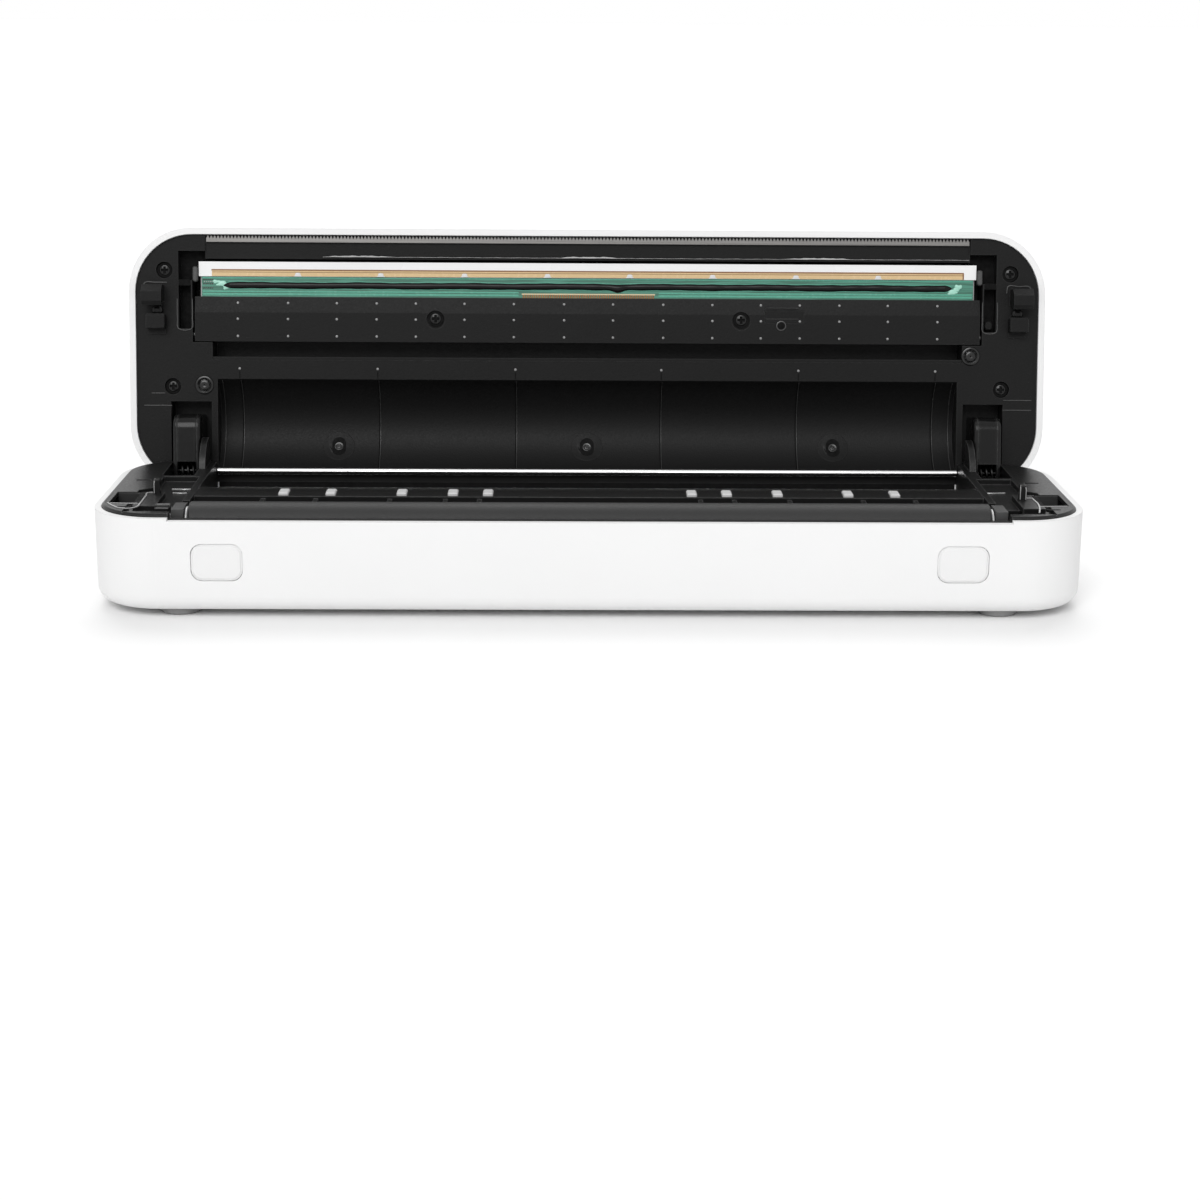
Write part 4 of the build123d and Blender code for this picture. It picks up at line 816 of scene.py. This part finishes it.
def dress_hooks():
    """Raised line round each latch hook in a painted highlight grey, a knob behind it, and the stop block's
    face and toe.
    """
    face = above_cover(FACE_Z)
    lines = ([(-131.0, 22.4), (-130.9, 17.6), (-130.0, 15.9), (-127, 15.8), (-123.6, 15.8)],
             [(123.3, 17.8), (123.6, 15.8), (127, 15.8), (130.0, 15.9), (130.9, 17.8), (131.1, 22.0)])
    cover_piece("hook_frames", [strip(smooth_path(line, 30), 0.3, 0.16) for line in lines], seam_highlight_grey, face)
    knob = ((1.7, -0.1), (1.65, 0.5), (1.3, 0.95), (0.7, 1.1), (0.2, 1.14))
    cover_piece("hook_knobs", [turned((x, 23.9), knob, 24) for x in pair(126.4)], arm_black, face)
    stops = mirrored((123.8, 129.4), (25.2, 29.3), (0.0, 3.55), 0.3, 0.25)
    cover_piece("stop_block_faces", stops, frame_black, face, False)
    toes = mirrored((123.9, 129.3), (29.0, 31.0), (-0.1, 0.3), 0.3, 0.1)
    cover_piece("stop_block_toes", toes, frame_black, face, False)


def dress_slots():
    """Floors of the slots beside the print head painted black as shade, with black bridges at the face, a
    rim round their rear end in a painted highlight grey, and a tongue.
    """
    face = above_cover(FACE_Z)
    floors = mirrored_flat((112.5, 120.1), (6.7, 15.1), SLOT_FLOOR, SLOT_FLOOR - 0.1)
    floors += mirrored_flat((116.7, 120.1), (16.5, 29.1), SLOT_FLOOR, SLOT_FLOOR - 0.1)
    bridges = mirrored_flat((116.7, 120.1), (14.9, 16.7), 0.03, -0.5)
    cover_piece("slot_painted_shade_plates", floors + bridges, painted_shade_black, face, False)
    rim = ((116.2, 20.5), (116.2, 26.0), (116.5, 29.2), (118.4, 29.7),
           (120.3, 29.2), (120.6, 26.0), (120.6, 20.5))
    rims = [strip(smooth_path([(side * x, y) for x, y in rim], 40), 0.25, 0.12) for side in (-1, 1)]
    cover_piece("slot_rims", rims, seam_highlight_grey, face)
    tongue = [block((117.2, 119.6), (25.9, 28.6), (-3.9, -1.7), 1.0, 0.3)]
    cover_piece("slot_tongue", tongue, frame_black, face, False)


def make_film():
    """Edge of clear film under the tear bar: a thin strip, wider in three places along x, whose rear
    edge stays clear of the platen when the cover is shut."""
    x = np.linspace(-78, 112, 200)
    thick = sum(np.exp(-(((x - at) / 8.0) ** 6)) for at in (-67.5, 0.0, 67.5))
    width = (0.1 + 0.3 * thick) * (1 + 0.3 * np.sin(x * 1.7) * np.sin(x * 0.53))
    y = 8.24 - width / 2 - 0.05 * np.sin(x * 0.4) ** 2
    join_rings("film_edge", [strip(np.column_stack([x, y]), width[:, None], 0.06)],
               "cover", film_grey, above_cover(FACE_Z), False)


# Hinge arms, drawn from the side where they lie when the cover is shut

ARM_FRONT_Y, ARM_BACK_Y = 54.3, 72.2
ARM_LOW_Z, ARM_TOP_Z = 22.3, 36.5
NOSE_R = 4.0
EYE_R = 3.6
HOLLOW_R = 2.7


def arc_points(centre, radius, first, last, count):
    """Points of an arc between two angles in degrees."""
    turn = np.radians(np.linspace(first, last, count))
    return np.column_stack([centre[0] + radius * np.cos(turn), centre[1] + radius * np.sin(turn)])


def arm_outline(inset, hollow):
    """Side outline of a hinge arm, drawn in by the inset: a quarter round at the nose, a straight
    face, and at the heel either the round eye or the hollow that the spring turns in."""
    back = ARM_BACK_Y - inset
    nose_at = (ARM_FRONT_Y + NOSE_R, ARM_LOW_Z + NOSE_R)
    nose = arc_points(nose_at, NOSE_R - inset, 180, 270, 12)
    if hollow:
        turn = arc_points((AXIS_Y, AXIS_Z), HOLLOW_R, 180, 64, 10)
        heel = np.vstack([[AXIS_Y - HOLLOW_R, ARM_LOW_Z + inset], turn, [back, AXIS_Z + 3.5]])
    else:
        turn = arc_points((AXIS_Y, AXIS_Z), EYE_R - inset, -90, 0, 12)
        heel = np.vstack([turn, [back, AXIS_Z + 2]])
    return np.vstack([nose, heel, [[back, ARM_TOP_Z], [ARM_FRONT_Y + inset, ARM_TOP_Z]]])


def arm_slice(side, steps, hollow):
    """Slice of an arm: one outline for each distance along X and inset."""
    outlines = [(x, arm_outline(inset, hollow)) for x, inset in steps]
    return np.array([np.column_stack([np.full(len(line), side * x), line]) for x, line in outlines])


def make_arms():
    """Each arm is an inner and an outer cheek with rounded edges, and a hollow slice between them."""
    inner = ((113.3, 0.7), (113.42, 0.35), (113.65, 0.12), (114.0, 0.0), (114.35, 0.0), (114.7, 0.35))
    outer = ((119.9, 0.35), (120.25, 0.0), (120.6, 0.0), (120.95, 0.12), (121.18, 0.35), (121.3, 0.7))
    middle = ((114.6, 0.0), (120.0, 0.0))
    arms = [arm_slice(side, steps, False) for side in (-1, 1) for steps in (inner, outer)]
    arms += [arm_slice(side, middle, True) for side in (-1, 1)]
    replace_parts(join_rings("curved_arms", arms, "cover", arm_black, on_cover), "hinge_arms")


# Base

def make_pads():
    """White rounded pads on the guide plate."""
    half, y, z = 1.4, (27.0, 32.4), (27.3, 29.0)
    shapes = [block((x - half, x + half), y, z, 0.5, 0.3) for x in both_sides(28.2, 37.9, 52.0, 71.6, 84.6)]
    pads = join_rings("guide_plate_pads", shapes, "base", pad_white, on_base, False)
    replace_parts(pads, "guide_pads")


def make_washers():
    """White washer with soft edges at each end of the platen."""
    washer = ((3.9, 0.0), (4.1, 0.15), (4.1, 0.5), (3.8, 0.65), (2.6, 0.65))
    for side, name in ((-1, "left"), (1, "right")):
        rings = turned((0, 0), [(r, side * (108.25 + h)) for r, h in washer], 40)
        join_rings(f"platen_washer_{name}", [rings], "base", washer_white, along_platen)


def dress_decks():
    """Glossy rails round the decks' edges and edges on the tabs, coloured light grey as a painted
    highlight, upright tabs, slits painted black as shade, and the hook slots' walls and floors, with black
    plates painted as shade over the slots.
    """
    left_rail = [(-120.6, 28.6), (-121.5, 28.4), (-121.75, 24.0), (-121.75, 14.0), (-122.0, 10.2),
                 (-123.6, 8.4), (-126.2, 8.9), (-128.8, 12.0), (-130.6, 15.2)]
    right_rail = [(120.6, 25.0), (121.6, 25.2), (122.2, 22.0), (122.0, 14.0), (121.3, 10.0), (120.6, 6.8)]
    # Painted highlight: light grey rails and tab edges stand for the light along the deck's edges
    rails = [strip(smooth_path(rail, 70), 0.42, 0.18) for rail in (left_rail, right_rail)]
    deck_piece("deck_edge_rails", rails, rail_highlight_grey)
    lip = ((122.3, 14.6), (126.0, 14.7), (129.9, 15.0))
    lips = [strip([(side * x, y) for x, y in lip], 0.3, 0.14) for side in (-1, 1)]
    deck_piece("deck_slot_edges", lips, rail_highlight_grey, False)
    tabs = [block(x, y, (-0.4, 4.1), 0.4, 0.25)
            for x, y in (((-120.1, -118.3), (27.0, 29.1)), ((118.3, 120.1), (22.8, 25.4)))]
    deck_piece("deck_tabs", tabs, deck_black, False)
    edges = ((-119.7, -119.9, -119.95, 27.4), (119.7, 119.9, 119.95, 23.2), (118.5, 118.4, 118.4, 23.2))
    lines = [[(top, y, 4.1), (bend, y - 0.45, 3.2), (low, y - 0.5, 1.6), (low, y - 0.5, 0.2)]
             for top, bend, low, y in edges]
    deck_piece("deck_tab_edges", [wire(smooth_path(line, 24), 0.13) for line in lines], rail_highlight_grey)
    # Painted shade: black plates over the hook slots
    painted_shade_plates = [block(x, y, (-0.3, 0.02), 0.05, 0.01)
             for x, y in (((-123.7, -122.0), (15.6, 29.5)), ((122.6, 123.7), (15.0, 28.6)))]
    deck_piece("hook_slot_painted_shade_plates", painted_shade_plates, painted_shade_black, False)
    liners = mirrored_flat((130.4, 131.5), (15.5, 29.5), 0.0, -1.2)
    deck_piece("hook_slot_liners", liners, deck_black, False)
    walls = mirrored_flat((123.8, 130.3), (29.35, 29.7), -0.3, -7.0)
    deck_piece("hook_slot_walls", walls, wall_black, False)
    slits = [((123.3, 127.1), (10.2, 11.4)), ((124.1, 127.9), (44.6, 45.8))]
    shapes = [shape for x, y in slits for shape in mirrored(x, y, (-0.6, 0.02), 0.55, 0.02)]
    deck_piece("deck_slits", shapes, painted_shade_black, False)


def make_wires():
    """Bright wires that cross the sunk decks beside the roll bay."""
    paths = ([(-117.3, 40.2, 0.05), (-114.0, 39.7, 0.1), (-110.7, 40.1, 0.05)],
             [(-116.2, 34.9, 0.05), (-114.0, 34.6, 0.1), (-112.3, 34.9, 0.05)],
             [(110.7, 38.5, 0.05), (114.0, 38.3, 0.1), (117.3, 38.8, 0.05)])
    shapes = [wire(smooth_path(path, 24), 0.2) for path in paths]
    join_rings("bay_wires", shapes, "base", wire_steel, above_base(SUNK_DECK_Z))


def make_skirts():
    """Skirt behind each release button's face, which fills the gap round it."""
    half, z = 6.83, (10.72, 20.68)
    for side, name in ((-1, "left"), (1, "right")):
        middle = side * BUTTON_X
        skirt = block((middle - half, middle + half), z, (0.35, 1.2), 2.95, 0.02)
        join_rings(f"button_skirt_{name}", [skirt], f"{name}_release",
                   button_white, on_front, False)


# Floor, sky and lamps

FLOOR_HALF = 8.0
SKY = 0.43


def make_floor():
    """Plain pale floor that keeps the shadow."""
    mesh = bpy.data.meshes.new("floor")
    corners = [(x * FLOOR_HALF, y * FLOOR_HALF, 0) for x, y in ((-1, -1), (1, -1), (1, 1), (-1, 1))]
    mesh.from_pydata(corners, [], [(0, 1, 2, 3)])
    floor = bpy.data.objects.new("floor", mesh)
    bpy.context.scene.collection.objects.link(floor)
    material, _, shader = new_material("floor_pale", Roughness=0.6, Specular_IOR_Level=0.2)
    shader.inputs["Base Color"].default_value = shade(0.97)
    mesh.materials.append(material)


def make_sky():
    """White sky: camera, mirror and clear rays see it at full white, and other rays at a lower level."""
    world = bpy.data.worlds.new("World")
    bpy.context.scene.world = world
    world.use_nodes = True
    tree = world.node_tree
    back = tree.nodes["Background"]
    back.inputs["Color"].default_value = (1, 1, 1, 1)
    path = add_node(tree, "ShaderNodeLightPath").outputs
    seen = path["Is Camera Ray"]
    for kind in ("Is Glossy Ray", "Is Transmission Ray"):
        seen = add_node(tree, "ShaderNodeMath", {0: seen, 1: path[kind]}, operation="MAXIMUM").outputs[0]
    tree.links.new(map_range(tree, seen, SKY, 1.0), back.inputs["Strength"])


def add_lamp(name, towards, strength, spread):
    """Soft sun: light from one side, with the same strength all over the floor."""
    lamp = bpy.data.lights.new(name, "SUN")
    lamp.energy = strength
    lamp.angle = math.radians(spread)
    holder = bpy.data.objects.new(name, lamp)
    holder.rotation_euler = Vector(towards).to_track_quat("-Z", "Y").to_euler()
    bpy.context.scene.collection.objects.link(holder)


dress_ceramic()
dress_board()
make_bead()
dress_head_cover()
dress_panel()
dress_trough()
dress_hooks()
dress_slots()
make_film()
make_arms()
make_pads()
make_washers()
dress_decks()
make_wires()
make_skirts()
make_floor()
make_sky()
add_lamp("key", (0.2, 1.0, -0.8), 1.56, 35)
add_lamp("top", (0.0, -0.75, -1.0), 1.22, 45)

bpy.context.scene.view_settings.view_transform = "Standard"
